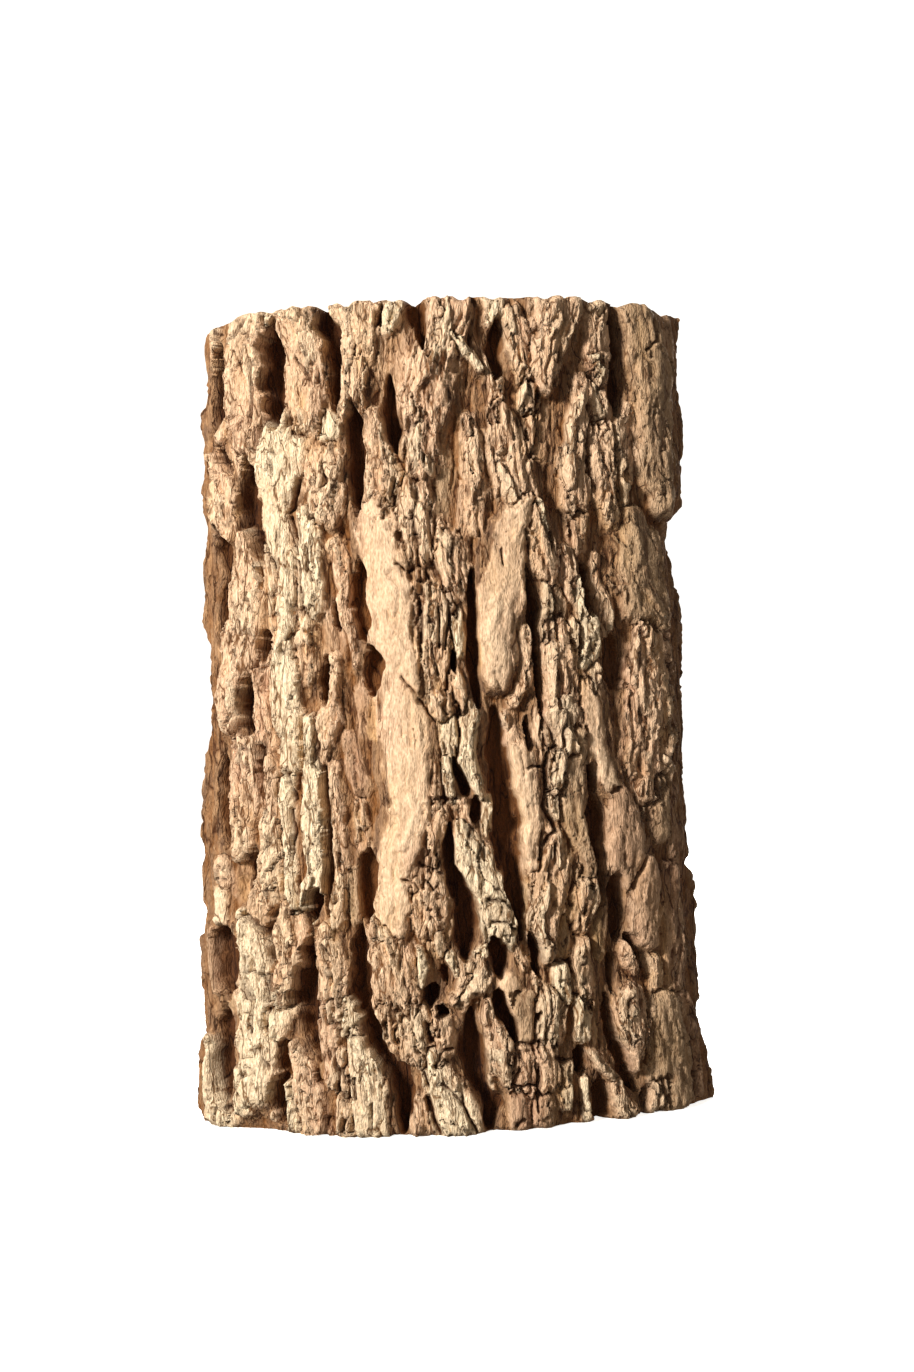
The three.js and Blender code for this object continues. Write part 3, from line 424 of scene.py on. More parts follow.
# Near the long edges: how far out the bark reaches, the share of its relief left there, and the rest.
EDGE_REACH, EDGE_WEAR, EDGE_GAIN = 1.022, 0.92, 0.08

# The deepest that a furrow goes under the floor, in millimetres.
DEEPEST = -6

# Rows of faces from the bark's border to the back's, and the materials' places in the mesh's list.
WALL_STRIPS = 9
BARK_SLOT, SAWN_SLOT, INNER_SLOT = 0, 1, 2

# Shares from 0 to 1 that the mesh carries for the bark's colours; crest and crack also place painted
# highlight and painted shade.
SHARES = ("crest", "cream", "olive", "russet", "crack", "rough", "ridge")

# The map: the arc that its width covers, the radius that its depth starts from and the depth that it
# covers, in millimetres, and where the strips of the ends and the long edges start on it.
MAP_SPAN, MAP_INNERMOST, MAP_DEPTH = 300, 165, 45
MAP_STRIPS = (0.55, 0.64, 0.73, 0.82)

# The sockets of a colour mix, by number, because its names stand for several kinds of socket.
MIX_FACTOR, MIX_FIRST, MIX_SECOND, MIX_RESULT = 0, 6, 7, 2

# The white paper: flat reach, radius of its bend and height of its wall in metres, then its divisions.
PAPER_FLAT, PAPER_BEND, PAPER_TOP = 2.6, 0.8, 4.0
PAPER_SIDES, PAPER_STEPS = 72, 12

# The key light: degrees left of the bark face and up, and metres. Its power is given for the nearer one.
KEY_AZIMUTH, KEY_ELEVATION, KEY_DISTANCE, KEY_POWER_DISTANCE = 43, 22, 1.9, 1.5
KEY_SIZE, KEY_COLOUR = 0.35, (1.0, 0.98, 0.95)

# The light behind the board, in metres from the board's middle, and the warm light from all round.
BACK_PLACE, BACK_SIZE = (0.55, 1.3, 0.6), 0.6
AMBIENT_COLOUR, AMBIENT_STRENGTH = (1.0, 0.86, 0.69, 1), 0.175

# Width of the camera's sensor in millimetres.
SENSOR_WIDTH = 36

# The colours that the bark's own material is painted with.
BARK_COLOURS = (
    "ridge", "ridge_light", "ridge_dark", "cream", "golden", "rosy", "olive", "russet",
    "valley", "valley_dark", "furrow", "furrow_dark", "crack",
)

# Farther than anything on the board.
FAR = 99.0

# Odd numbers that stir a lattice corner into a repeatable share, and how many bits of it are kept.
STIR_COLUMN, STIR_ROW, STIR_SEED, STIR_AGAIN = 374761393, 668265263, 974634521, 1274126177
LOW_32_BITS, LOW_24_BITS = 0xFFFFFFFF, 0xFFFFFF

# How each kind of ridge looks: roughness of its flakes, then shares of cream, olive and russet.
TONES = {
    "tan": (1.0, 0.18, 0.0, 0.0),
    "cream": (0.9, 0.75, 0.0, 0.0),
    "smooth": (0.25, 0.22, 0.0, 0.0),
    "brown": (0.6, 0.0, 0.2, 0.4),
    "olive": (0.55, 0.0, 0.6, 0.1),
    "ochre": (1.0, 0.3, 0.35, 0.0),
    "red": (0.8, 0.0, 0.0, 0.6),
    "purple": (0.35, 0.0, 0.0, 0.4),
}


def linear_colour(hex_text):
    """The linear colour of an sRGB hex value such as #c49a70."""
    shares = [int(hex_text[place:place + 2], 16) / 255 for place in (1, 3, 5)]
    return [s / 12.92 if s <= 0.04045 else ((s + 0.055) / 1.055) ** 2.4 for s in shares]


def colour_property(name, description, hex_text):
    """A colour that a user can change, given as an sRGB hex value."""
    default = linear_colour(hex_text)
    return FloatVectorProperty(
        name=name, description=description, subtype="COLOR", default=default, min=0, max=1)


def size_property(name, description, millimetres):
    """A length that a user can change, given in millimetres and kept in metres."""
    default = millimetres * MM
    return FloatProperty(name=name, description=description, unit="LENGTH", default=default, precision=5)


class CorkBoardSizes(bpy.types.PropertyGroup):
    """Sizes of the bark board."""

    height: FloatProperty(
        name="Height",
        description="From the sawn foot to the sawn top",
        unit="LENGTH",
        default=BOARD_HIGH.z - BOARD_LOW.z,
    )
    crest_radius: size_property("Crest radius", "Radius of the curve that the ridge tops lie on", 203)
    back_radius: size_property("Back radius", "Radius of the hollow back", 176)
    arc_axis: size_property("Arc axis", "Distance of the curve's upright axis behind the origin", 189.5)
    floor_thickness: size_property("Floor thickness", "Thickness of the bark under the furrows", 13)
    mesh_step: size_property("Mesh step", "Spacing of the points of the bark face", 0.55)
    back_step: size_property("Back step", "Spacing of the points on the smooth back", 2.2)
    flake_width: size_property("Flake width", "Width of the larger flakes on the ridges", 7.5)
    flake_length: size_property("Flake length", "Length of the larger flakes along the ridges", 25)
    chip_width: size_property("Chip width", "Width of the small chips on the flakes", 3.4)
    chip_length: size_property("Chip length", "Length of the small chips along the ridges", 13)
    triangles: IntProperty(
        name="Triangles", description="Triangles kept in the finished board", default=192000)


class CorkBoardColours(bpy.types.PropertyGroup):
    """Colours of the bark, the inner bark and the sawn cork."""

    ridge: colour_property("Ridge", "Weathered tan of the ridge tops", "#daaf8a")
    # The pale tan also serves as painted highlight on raised crests.
    ridge_light: colour_property("Light ridge", "Palest dry tan of the ridge tops", "#efcba7")
    ridge_dark: colour_property("Dark ridge", "Brownest parts of the ridge tops", "#b08a63")
    cream: colour_property("Cream", "Fresh flakes where bark has split off", "#f9e2be")
    golden: colour_property("Golden", "Yellower patches of the ridges", "#dcae74")
    rosy: colour_property("Rosy", "Pinker patches of the ridges", "#d2a184")
    olive: colour_property("Olive", "Grey-green weathering", "#85704a")
    russet: colour_property("Russet", "Red-brown cork under lost plates", "#8d6146")
    valley: colour_property("Valley", "Weathered bark between the ridges", "#b78f68")
    valley_dark: colour_property("Dark valley", "Greyer streaks between the ridges", "#82634a")
    furrow: colour_property("Furrow", "Brown furrow floors", "#966a42")
    # The darkest furrow colour is partly painted shade: the lowest hollows take it.
    furrow_dark: colour_property("Dark furrow", "Darkest furrow floors", "#7d5028")
    # The crack colour is partly painted shade, laid in cracks, seams and the deepest furrows.
    crack: colour_property("Crack", "Open cracks", "#4c2a12")
    inner: colour_property("Inner bark", "Smooth back of the bark", "#b39a80")
    inner_light: colour_property("Light inner bark", "Paler clouds of the back", "#cdb9a0")
    inner_dark: colour_property("Dark inner bark", "Darker streaks of the back", "#7a6350")
    sawn: colour_property("Sawn cork", "Cut ends and edges", "#b98a5f")
    sawn_dark: colour_property("Dark sawn cork", "Growth lines and pores of the cut", "#7c5434")


class CorkStageSettings(bpy.types.PropertyGroup):
    """Camera, light and ground of the picture."""

    camera_distance: size_property("Camera distance", "From the lens to the crest of the bark", 880)
    camera_right: size_property("Camera right", "How far the lens stands right of the origin", 9.5)
    camera_height: size_property("Camera height", "How far the lens stands above the foot", 214.2)
    camera_roll: FloatProperty(
        name="Camera roll",
        description="Tilt of the camera about its line of sight",
        subtype="ANGLE",
        default=math.radians(2.5),
    )
    focal_pixels: FloatProperty(
        name="Focal length", description="Focal length in image pixels", default=1857)
    key_power: FloatProperty(
        name="Key power", description="Power of the main light in watts, at 1.5 m", default=37)
    back_power: FloatProperty(
        name="Back power", description="Power of the light behind in watts", default=45)
    ground: colour_property("Ground", "White paper of the ground", "#fbfaf7")


def lattice(column, row, seed):
    """A repeatable share from 0 to 1 for each corner of a lattice."""
    mixed = column.astype(np.int64) * STIR_COLUMN + row.astype(np.int64) * STIR_ROW
    mixed = (mixed + seed * STIR_SEED) & LOW_32_BITS
    mixed = ((mixed ^ (mixed >> 13)) * STIR_AGAIN) & LOW_32_BITS
    return ((mixed ^ (mixed >> 16)) & LOW_24_BITS) / (LOW_24_BITS + 1)


def noise(u, v, seed):
    """Smooth noise from about -1 to 1, with one bump to each unit."""
    column, row = np.floor(u), np.floor(v)
    in_u, in_v = u - column, v - row
    ease_u = in_u ** 3 * (in_u * (in_u * 6 - 15) + 10)
    ease_v = in_v ** 3 * (in_v * (in_v * 6 - 15) + 10)
    total = np.zeros_like(in_u)
    for du in (0, 1):
        for dv in (0, 1):
            angle = lattice(column + du, row + dv, seed) * math.tau
            slope = np.cos(angle) * (in_u - du) + np.sin(angle) * (in_v - dv)
            total += slope * (ease_u if du else 1 - ease_u) * (ease_v if dv else 1 - ease_v)
    return total * 1.6


def cells(u, v, seed):
    """Jittered cells: distance to the nearest centre, gap to the next, a random share and a lean."""
    column, row = np.floor(u), np.floor(v)
    nearest = np.full(u.shape, FAR)
    second = np.full(u.shape, FAR)
    tag = np.zeros(u.shape)
    lean = np.zeros(u.shape)
    for du in (-1, 0, 1):
        for dv in (-1, 0, 1):
            centre_u = column + du + 0.12 + 0.76 * lattice(column + du, row + dv, seed)
            centre_v = row + dv + 0.12 + 0.76 * lattice(column + du, row + dv, seed + 101)
            distance = np.hypot(centre_u - u, centre_v - v)
            closer = distance < nearest
            second = np.where(closer, nearest, np.minimum(second, distance))
            nearest = np.where(closer, distance, nearest)
            tag = np.where(closer, lattice(column + du, row + dv, seed + 211), tag)
            slope_u = lattice(column + du, row + dv, seed + 307) - 0.5
            slope_v = lattice(column + du, row + dv, seed + 401) - 0.5
            lean = np.where(closer, slope_u * (u - centre_u) + slope_v * (v - centre_v), lean)
    return nearest, second - nearest, tag, lean


def blurred(field, radius):
    """The field averaged over a square of the given radius in points, twice."""
    for axis in (0, 1, 0, 1):
        margins = [(radius + 1, radius) if side == axis else (0, 0) for side in (0, 1)]
        padded = np.pad(field, margins, mode="edge")
        summed = np.cumsum(padded, axis=axis)
        width = 2 * radius + 1
        high = np.take(summed, np.arange(width, summed.shape[axis]), axis=axis)
        low = np.take(summed, np.arange(0, summed.shape[axis] - width), axis=axis)
        field = (high - low) / width
    return field


def from_spine(run, across, up):
    """Share of the half width off a run of stations, signed distance to its side, distance along it."""
    share = np.full(across.shape, FAR)
    side = np.zeros(across.shape)
    along = np.zeros(across.shape)
    walked = 0.0
    for (ax, az, aw), (bx, bz, bw) in zip(run, run[1:]):
        length = math.hypot(bx - ax, bz - az)
        dx, dz = (bx - ax) / length, (bz - az) / length
        forward = (across - ax) * dx + (up - az) * dz
        held = np.clip(forward, 0, length)
        off = np.hypot(across - ax - held * dx, up - az - held * dz)
        here = off / (aw + (bw - aw) * held / length)
        closer = here < share
        share = np.where(closer, here, share)
        side = np.where(closer, (across - ax) * dz - (up - az) * dx, side)
        along = np.where(closer, walked + forward, along)
        walked += length
    return share, side, along


def from_line(points, across, up):
    """Distance from a line through points."""
    return from_spine([(x, z, 1.0) for x, z in points], across, up)[0]


def near_run(run, across, up, margin):
    """Where a field lies close enough to a run of stations to be touched by it."""
    low_x = min(s[0] for s in run) - margin
    high_x = max(s[0] for s in run) + margin
    low_z = min(s[1] for s in run) - margin
    high_z = max(s[1] for s in run) + margin
    return np.nonzero((across > low_x) & (across < high_x) & (up > low_z) & (up < high_z))


def creased(u, v, seed):
    """Puffs between sharp creases, with a mean of about 0."""
    return np.abs(noise(u, v, seed)) - 0.3


def layered(height, sway, layer):
    """A height broken into thin layers with steep rims, as cork peels."""
    level = height / layer + sway
    part = level - np.floor(level)
    rim = np.clip((part - 0.55) / 0.45, 0, 1)
    return height + layer * (rim * rim * (3 - 2 * rim) - part + 0.36)


def wandering(across, up):
    """The places shifted by slow noise, so that no ridge or furrow runs straight."""
    x = across + 1.5 * noise(across / 11, up / 24, 1) + 0.6 * noise(across / 4, up / 13, 2)
    z = up + 1.8 * noise(across / 8, up / 12, 3) + 0.8 * noise(across / 2.5, up / 3.5, 4)
    return x, z


def skirted_floor(x, z):
    """The bark between the ridges, hung from their sides like a skirt, and the ridges traced on it."""
    floor = FLOOR_RISE + FLOOR_SWAY * noise(x / 9, z / 30, 5)
    traced = []
    for tone, height, run in RIDGES:
        widest = max(station[2] for station in run)
        spot = near_run(run, x, z, widest + RIDGE_MARGIN)
        share, side, along = from_spine(run, x[spot], z[spot])
        share = share / RIDGE_SPREAD
        traced.append((tone, height, spot, share, side, along))
        beyond = np.maximum(share - 0.9, 0) * widest
        hang = SMOOTH_SKIRT if tone == "smooth" else SKIRT
        skirt = hang * height * np.exp(-(beyond / SKIRT_WIDTH) ** 2)
        floor[spot] = (floor[spot] ** SKIRT_BLEND + skirt ** SKIRT_BLEND) ** (1 / SKIRT_BLEND)
    floor += 2.4 * creased(x / 3.4, z / 30, 6) + 1.2 * creased(x / 1.8, z / 14, 7)
    return floor, traced


def raise_ridges(fields, floor, traced, sizes):
    """Raises each ridge out of the floor, flaked by its tone, with seams where two plates meet."""
    flake_width, flake_length = sizes.flake_width / MM, sizes.flake_length / MM
    relief, crack, rough, ridge = (fields[name] for name in ("relief", "crack", "rough", "ridge"))
    best = np.full(floor.shape, -FAR)
    second = np.full(floor.shape, -FAR)
    for number, (tone, height, spot, share, side, along) in enumerate(traced):
        tone_rough, tone_cream, tone_olive, tone_russet = TONES[tone]
        u = side / flake_width + 0.45 * noise(side / 5, along / 9, 30 + number)
        v = along / flake_length + 0.4 * noise(side / 3, along / 8, 60 + number)
        gap, tag, lean = cells(u, v, 300 + number)[1:]
        nibbled = 0.26 * (tag - 0.5) + 0.2 * noise(side / 2.4, along / 9, 31 + number)
        ragged = share + max(tone_rough, 0.8) * nibbled
        body = np.clip(1 - np.maximum(ragged, 0) ** 3.2, 0, 1) ** 0.7
        top = height * (0.97 + 0.08 * noise(along / 22, along * 0 + 0.37 * number, 40))
        top += tone_rough * (2.6 * (tag - 0.5) + 6.0 * lean) + 0.9 * (1 - share ** 2)
        top += tone_rough * 2.2 * creased(side / 3.4, along / 30, 33 + number)
        top += tone_rough * 1.0 * creased(side / 1.7, along / 13, 34 + number)
        # Gaps opened between flakes are cut down and marked for the crack colour: dark cork with painted
        # shade in the gap.
        opened = np.exp(-(gap / 0.08) ** 2) * (tag > 0.5) * tone_rough
        value = floor[spot] + (top - 2.6 * opened - floor[spot]) * body
        wins = value > relief[spot]
        firm = np.where(body > 0.35, value, -FAR)
        second[spot] = np.maximum(second[spot], np.minimum(best[spot], firm))
        best[spot] = np.maximum(best[spot], firm)
        relief[spot] = np.where(wins, value, relief[spot])
        ridge[spot] = np.maximum(ridge[spot], np.clip(2.2 * body - 0.5, 0, 1))
        rough[spot] = np.where(wins, rough[spot] + (tone_rough - rough[spot]) * body, rough[spot])
        crack[spot] = np.where(wins, opened * body, crack[spot])
        tints = {
            "cream": tone_cream + 0.5 * (tag - 0.5) * tone_rough,
            "olive": tone_olive,
            "russet": tone_russet,
        }
        for name, tint in tints.items():
            fields[name][spot] = np.where(wins, body * tint, fields[name][spot])

    # Where two plates of one height meet, a seam is cut and marked for the crack colour: a dark joint with
    # painted shade between the plates.
    seam = np.exp(-((best - second) / SEAM_STEP) ** 2) * (second > SEAM_FROM)
    relief -= SEAM_DEPTH * seam
    np.maximum(crack, 0.8 * seam, out=crack)


def cut_furrows(fields, x, z):
    """Cuts the dark furrows through floor and ridges, narrowing to their tips."""
    relief, crack = fields["relief"], fields["crack"]
    for depth, run in FURROWS:
        spot = near_run(run, x, z, FURROW_MARGIN)
        share, _, along = from_spine(run, x[spot], z[spot])
        length = sum(math.dist(a[:2], b[:2]) for a, b in zip(run, run[1:]))
        to_tip = np.clip(np.minimum(along, length - along) / (0.25 * length) + 0.3, 0.3, 1)
        share = share / to_tip ** 0.6 + 0.25 * noise(x[spot] / 3, z[spot] / 9, 15)
        inside = np.clip(1.3 - np.maximum(share, 0) ** 2.5, 0, 1)
        streak = 0.6 * noise(x[spot] / 1.5, z[spot] / 16, 8)
        relief[spot] = relief[spot] * (1 - inside) + (streak - depth) * inside
        # Painted shade in part: a furrow is marked darker the deeper it is cut, over its own dark floor.
        dark = inside * min(1, 0.4 + 0.15 * depth)
        crack[spot] = np.maximum(crack[spot] * (1 - inside), dark)


def break_plates(fields, across, up, x, z, sizes):
    """Opens the traced cracks, then chips, hairline cracks, splits and grain over the plates."""
    relief, crack, rough = fields["relief"], fields["crack"], fields["rough"]
    plate = np.clip(relief / PLATE_HEIGHT, 0, 1)
    for width, points in CRACKS:
        spot = near_run(points, across, up, CRACK_MARGIN)
        off = from_line(points, x[spot], z[spot])
        opened = np.exp(-(off / (0.55 * width)) ** 2)
        relief[spot] -= (2.0 + 1.2 * width) * opened * plate[spot]
        # Traced cracks are marked dark, more where the plate stands higher and the crack cuts deeper: dark
        # cork with painted shade in it.
        crack[spot] = np.maximum(crack[spot], opened * plate[spot])

    chip_width, chip_length = sizes.chip_width / MM, sizes.chip_length / MM
    bend = 0.35 * noise(x / 4, z / 6, 9)
    gap, tag, lean = cells(x / chip_width + bend, z / chip_length + bend, 10)[1:]
    relief += rough * plate * (0.5 * (tag - 0.5) + 1.4 * lean)
    # Hairlines and splits are marked for the crack colour too: dark cork with painted shade in them.
    hairline = np.exp(-(gap / 0.1) ** 2) * (tag > 0.6) * plate * rough
    relief -= 0.8 * hairline
    np.maximum(crack, 0.6 * hairline, out=crack)
    fields["cream"] += 0.25 * (tag - 0.5) * rough

    nearest, _, tag, _ = cells(x / SPLIT_WIDTH, z / SPLIT_LENGTH, 11)
    split = np.exp(-(nearest / 0.13) ** 2) * (tag > 0.55) * plate * rough
    relief -= SPLIT_DEPTH * split
    np.maximum(crack, split, out=crack)
    relief += 0.35 * rough * noise(x / 1.2, z / 9, 12) + 0.12 * noise(x / 0.8, z / 0.9, 13)


def bark_fields(across, up, sizes):
    """Relief of the bark face in millimetres and the shares of its colours, at places in millimetres."""
    x, z = wandering(across, up)
    floor, traced = skirted_floor(x, z)
    fields = {name: np.zeros(x.shape) for name in SHARES}
    fields["rough"] += 0.9
    relief = fields["relief"] = floor.copy()
    raise_ridges(fields, floor, traced, sizes)
    peeled = layered(relief, noise(x / 5, z / 24, 14), LAYER_HEIGHT)
    relief += fields["rough"] * LAYER_SHARE * (peeled - relief)
    cut_furrows(fields, x, z)
    break_plates(fields, across, up, x, z, sizes)
    around = blurred(relief, max(1, round(4 / (sizes.mesh_step / MM))))
    # Crest: how far a point stands above its surroundings and above the floor. The material paints highlight
    # where it is high and shade where it is low.
    fields["crest"] = np.clip(0.55 + (relief - around) / 7 + (relief - 8) / 18, 0, 1)
    return fields


def edge_across(edge, up):
    """Where a traced long edge lies at each height."""
    return np.interp(up, [point[0] for point in edge], [point[1] for point in edge])


def on_spoke(across, up, radius, sizes):
    """Places in metres at a radius in millimetres on the spokes through crest places in millimetres."""
    angle = np.arcsin(across / (sizes.crest_radius / MM))
    right = radius * np.sin(angle)
    back = sizes.arc_axis / MM - radius * np.cos(angle)
    return np.stack([right, back, up + 0 * across], axis=-1) * MM


def ring_of(grid):
    """The border of a grid of point numbers: along the foot, up the right, back and down the left."""
    return np.concatenate([grid[0, :-1], grid[:-1, -1], grid[-1, :0:-1], grid[:0:-1, 0]])


def ring_turns(columns, rows):
    """How far round its border, from 0 to 4, each point of a grid's ring lies."""
    across, upward = np.arange(columns) / columns, np.arange(rows) / rows
    return np.concatenate([across, 1 + upward, 2 + across, 3 + upward])


def grid_faces(grid, flipped):
    """Four-cornered faces of a grid of point numbers."""
    corners = [grid[:-1, :-1], grid[:-1, 1:], grid[1:, 1:], grid[1:, :-1]]
    if flipped:
        corners.reverse()
    return np.stack([c.ravel() for c in corners], axis=1).tolist()


def zipped_faces(outer, outer_turns, inner, inner_turns):
    """Triangles between a fine ring and a coarser ring inside it, seen from behind the board."""
    faces = []
    outer_turns = list(outer_turns[1:]) + [4.0]
    inner_turns = list(inner_turns[1:]) + [4.0]
    o = i = 0
    while o < len(outer) or i < len(inner):
        outer_here, inner_here = outer[o % len(outer)], inner[i % len(inner)]
        if i == len(inner) or (o < len(outer) and outer_turns[o] <= inner_turns[i]):
            faces.append([outer_here, inner_here, outer[(o + 1) % len(outer)]])
            o += 1
        else:
            faces.append([inner_here, inner[(i + 1) % len(inner)], outer_here])
            i += 1
    return faces


def back_radius_at(across, up, sizes):
    """Radius of the hollow back in millimetres: a slow sway, upright grooves and small lenticels."""
    sway = 0.8 * np.sin(across / 23) * np.sin(up / 61) + 1.2 * noise(across / 20, up / 70, 73)
    grooves = 1.1 * noise(across / 5, up / 70, 70) + 0.9 * creased(across / 9, up / 45, 71)
    nearest, _, tag, _ = cells(across / LENTICEL_WIDTH, up / LENTICEL_LENGTH, 72)
    lenticels = LENTICEL_DEPTH * np.exp(-(nearest / 0.14) ** 2) * (tag > 0.5)
    return sizes.back_radius / MM + sway + grooves + lenticels


def spoke_at_edge(edge, up, seed, sizes):
    """Where the spokes stand whose bark surface reaches a traced edge, nibbled along its length."""
    reach = EDGE_REACH * edge_across(edge, up) + 0.7 * noise(up / 6, 0 * up + seed, seed)
    reach += 0.3 * noise(up / 1.7, 0 * up, seed)
    relief = blurred(bark_fields(reach, up, sizes)["relief"], 4)
    radius = (sizes.back_radius + sizes.floor_thickness) / MM + np.clip(EDGE_WEAR * relief, 0, None)
    return reach * (sizes.crest_radius / MM) / radius


def bark_face(sizes):
    """Points of the bark face in metres as a grid, with its places and colour shares."""
    height = sizes.height / MM
    step = sizes.mesh_step / MM
    rows = round(height / step)
    columns = round((BOARD_HIGH.x - BOARD_LOW.x) / MM / step)
    row_share = np.linspace(0, 1, rows + 1)[:, None]
    column_share = np.linspace(0, 1, columns + 1)[None, :]
    left = spoke_at_edge(LEFT_EDGE, height * row_share, 81, sizes)
    right = spoke_at_edge(RIGHT_EDGE, height * row_share, 82, sizes)
    across = left + (right - left) * column_share
    along_foot, along_top = across[:1], across[-1:]
    foot_chip = 1.3 * np.clip(noise(along_foot / 9, 0 * along_foot, 83) - 0.1, 0, None)
    top_chip = 3.0 * np.clip(noise(along_top / 8, 0 * along_top, 84) + 0.1, 0, None)
    top_chip += 0.5 * np.clip(noise(along_top / 2.2, 0 * along_top, 85), 0, None)
    left_slope = 5.0 * np.clip((-70 - along_top) / 40, 0, 1) ** 2
    right_slope = 4.0 * np.clip((along_top - 70) / 60, 0, 1) ** 2
    top_chip += left_slope + right_slope
    up = foot_chip + (height - top_chip - foot_chip) * row_share
    fields = bark_fields(across, up, sizes)
    to_side = np.minimum(across - left, right - across)
    to_end = np.minimum(up - up[:1], up[-1:] - up)
    side_wear = EDGE_WEAR + EDGE_GAIN * np.clip(to_side / 5, 0, 1)
    end_wear = 2.6 * np.clip(1 - to_end / (3.5 + 2 * noise(across / 5, up / 50, 86)), 0, 1) ** 2
    relief = np.maximum(fields["relief"] * side_wear - end_wear * fields["crest"], DEEPEST)
    radius = (sizes.back_radius + sizes.floor_thickness) / MM + relief
    return on_spoke(across, up, radius, sizes), across, up, fields


def board_mesh(sizes):
    """The whole board as one closed mesh: bark face, sawn ends and edges, hollow back."""
    face, across, up, fields = bark_face(sizes)
    rows, columns = across.shape[0] - 1, across.shape[1] - 1
    front_grid = np.arange(across.size).reshape(across.shape)
    places = [face.reshape(-1, 3)]
    shares = {name: [np.clip(fields[name], 0, 1).ravel()] for name in SHARES}
    count = across.size
    faces = grid_faces(front_grid, False)
    slots = [BARK_SLOT] * len(faces)

    # Walls: rings of points from the bark's border to the back's border.
    ring = ring_of(front_grid)
    ring_across, ring_up = across.ravel()[ring], up.ravel()[ring]
    bark_border = places[0][ring]
    back_border = on_spoke(ring_across, ring_up, back_radius_at(ring_across, ring_up, sizes), sizes)
    on_long_edge = np.concatenate([
        np.zeros(columns, bool), np.ones(rows, bool), np.zeros(columns, bool), np.ones(rows, bool)])
    outer = ring
    for strip in range(1, WALL_STRIPS + 1):
        share = strip / WALL_STRIPS
        wall = bark_border + (back_border - bark_border) * share
        if strip < WALL_STRIPS:
            level = 0 * ring_up + share
            tear = 0.8 * noise(ring_up / 6, 3.1 * level, 87) + 0.4 * noise(ring_up / 1.8, 9 * level, 88)
            wall[:, 0] += np.where(on_long_edge, tear * MM, 0)
        inner = count + np.arange(len(ring))
        count += len(ring)
        places.append(wall)
        for name in SHARES:
            shares[name].append(np.zeros(len(ring)))
        band = np.stack([np.append(outer, outer[0]), np.append(inner, inner[0])])
        added = grid_faces(band, True)
        faces += added
        slots += [SAWN_SLOT] * len(added)
        outer = inner

    # The back: a coarser grid inside the fine border, zipped to it.
    back_rows = round(sizes.height / sizes.back_step)
    back_columns = round((BOARD_HIGH.x - BOARD_LOW.x) / sizes.back_step)
    pick_row = np.linspace(0.006, 0.994, back_rows + 1)[:, None] * rows
    pick_column = np.linspace(0.01, 0.99, back_columns + 1)[None, :] * columns
    back_across = across[pick_row.astype(int), pick_column.astype(int)]
    back_up = up[pick_row.astype(int), pick_column.astype(int)]
    back = on_spoke(back_across, back_up, back_radius_at(back_across, back_up, sizes), sizes)
    back_grid = count + np.arange(back_across.size).reshape(back_across.shape)
    places.append(back.reshape(-1, 3))
    for name in SHARES:
        shares[name].append(np.zeros(back_across.size))
    added = grid_faces(back_grid, True)
    back_ring = ring_of(back_grid).tolist()
    back_turns = ring_turns(back_columns, back_rows)
    added += zipped_faces(outer.tolist(), ring_turns(columns, rows), back_ring, back_turns)
    faces += added
    slots += [INNER_SLOT] * len(added)

    mesh = bpy.data.meshes.new("cork_bark_board_fine")
    mesh.from_pydata(np.concatenate(places), [], faces)
    mesh.polygons.foreach_set("material_index", slots)
    for name in SHARES:
        attribute = mesh.attributes.new(f"bark_{name}", "FLOAT", "POINT")
        attribute.data.foreach_set("value", np.concatenate(shares[name]).astype(np.float32))
    mesh.update()
    return mesh


def thinned(mesh, triangles):
    """The mesh brought down to a number of triangles, most of them kept where the bark is roughest."""
    holder = bpy.data.objects.new("cork_bark_board_fine", mesh)
    bpy.context.scene.collection.objects.link(holder)
    have = sum(len(p) - 2 for p in (poly.vertices for poly in mesh.polygons))
    modifier = holder.modifiers.new("thin", "DECIMATE")
    modifier.ratio = min(1.0, triangles / have)
    ready = holder.evaluated_get(bpy.context.evaluated_depsgraph_get())
    thin = bpy.data.meshes.new_from_object(ready)
    bpy.data.objects.remove(holder)
    return thin


def sharpen_borders(mesh):
    """Smooth shading, with a hard edge where bark, sawn cork and inner bark meet."""
    mesh.shade_smooth()
    loop_edges = np.zeros(len(mesh.loops), np.int32)
    mesh.loops.foreach_get("edge_index", loop_edges)
    sizes = np.zeros(len(mesh.polygons), np.int32)
    slots = np.zeros(len(mesh.polygons), np.int32)
    mesh.polygons.foreach_get("loop_total", sizes)
    mesh.polygons.foreach_get("material_index", slots)
    loop_slots = np.repeat(slots, sizes)
    lowest = np.full(len(mesh.edges), 99)
    highest = np.full(len(mesh.edges), -1)
    np.minimum.at(lowest, loop_edges, loop_slots)
    np.maximum.at(highest, loop_edges, loop_slots)
    mesh.edges.foreach_set("use_edge_sharp", lowest != highest)


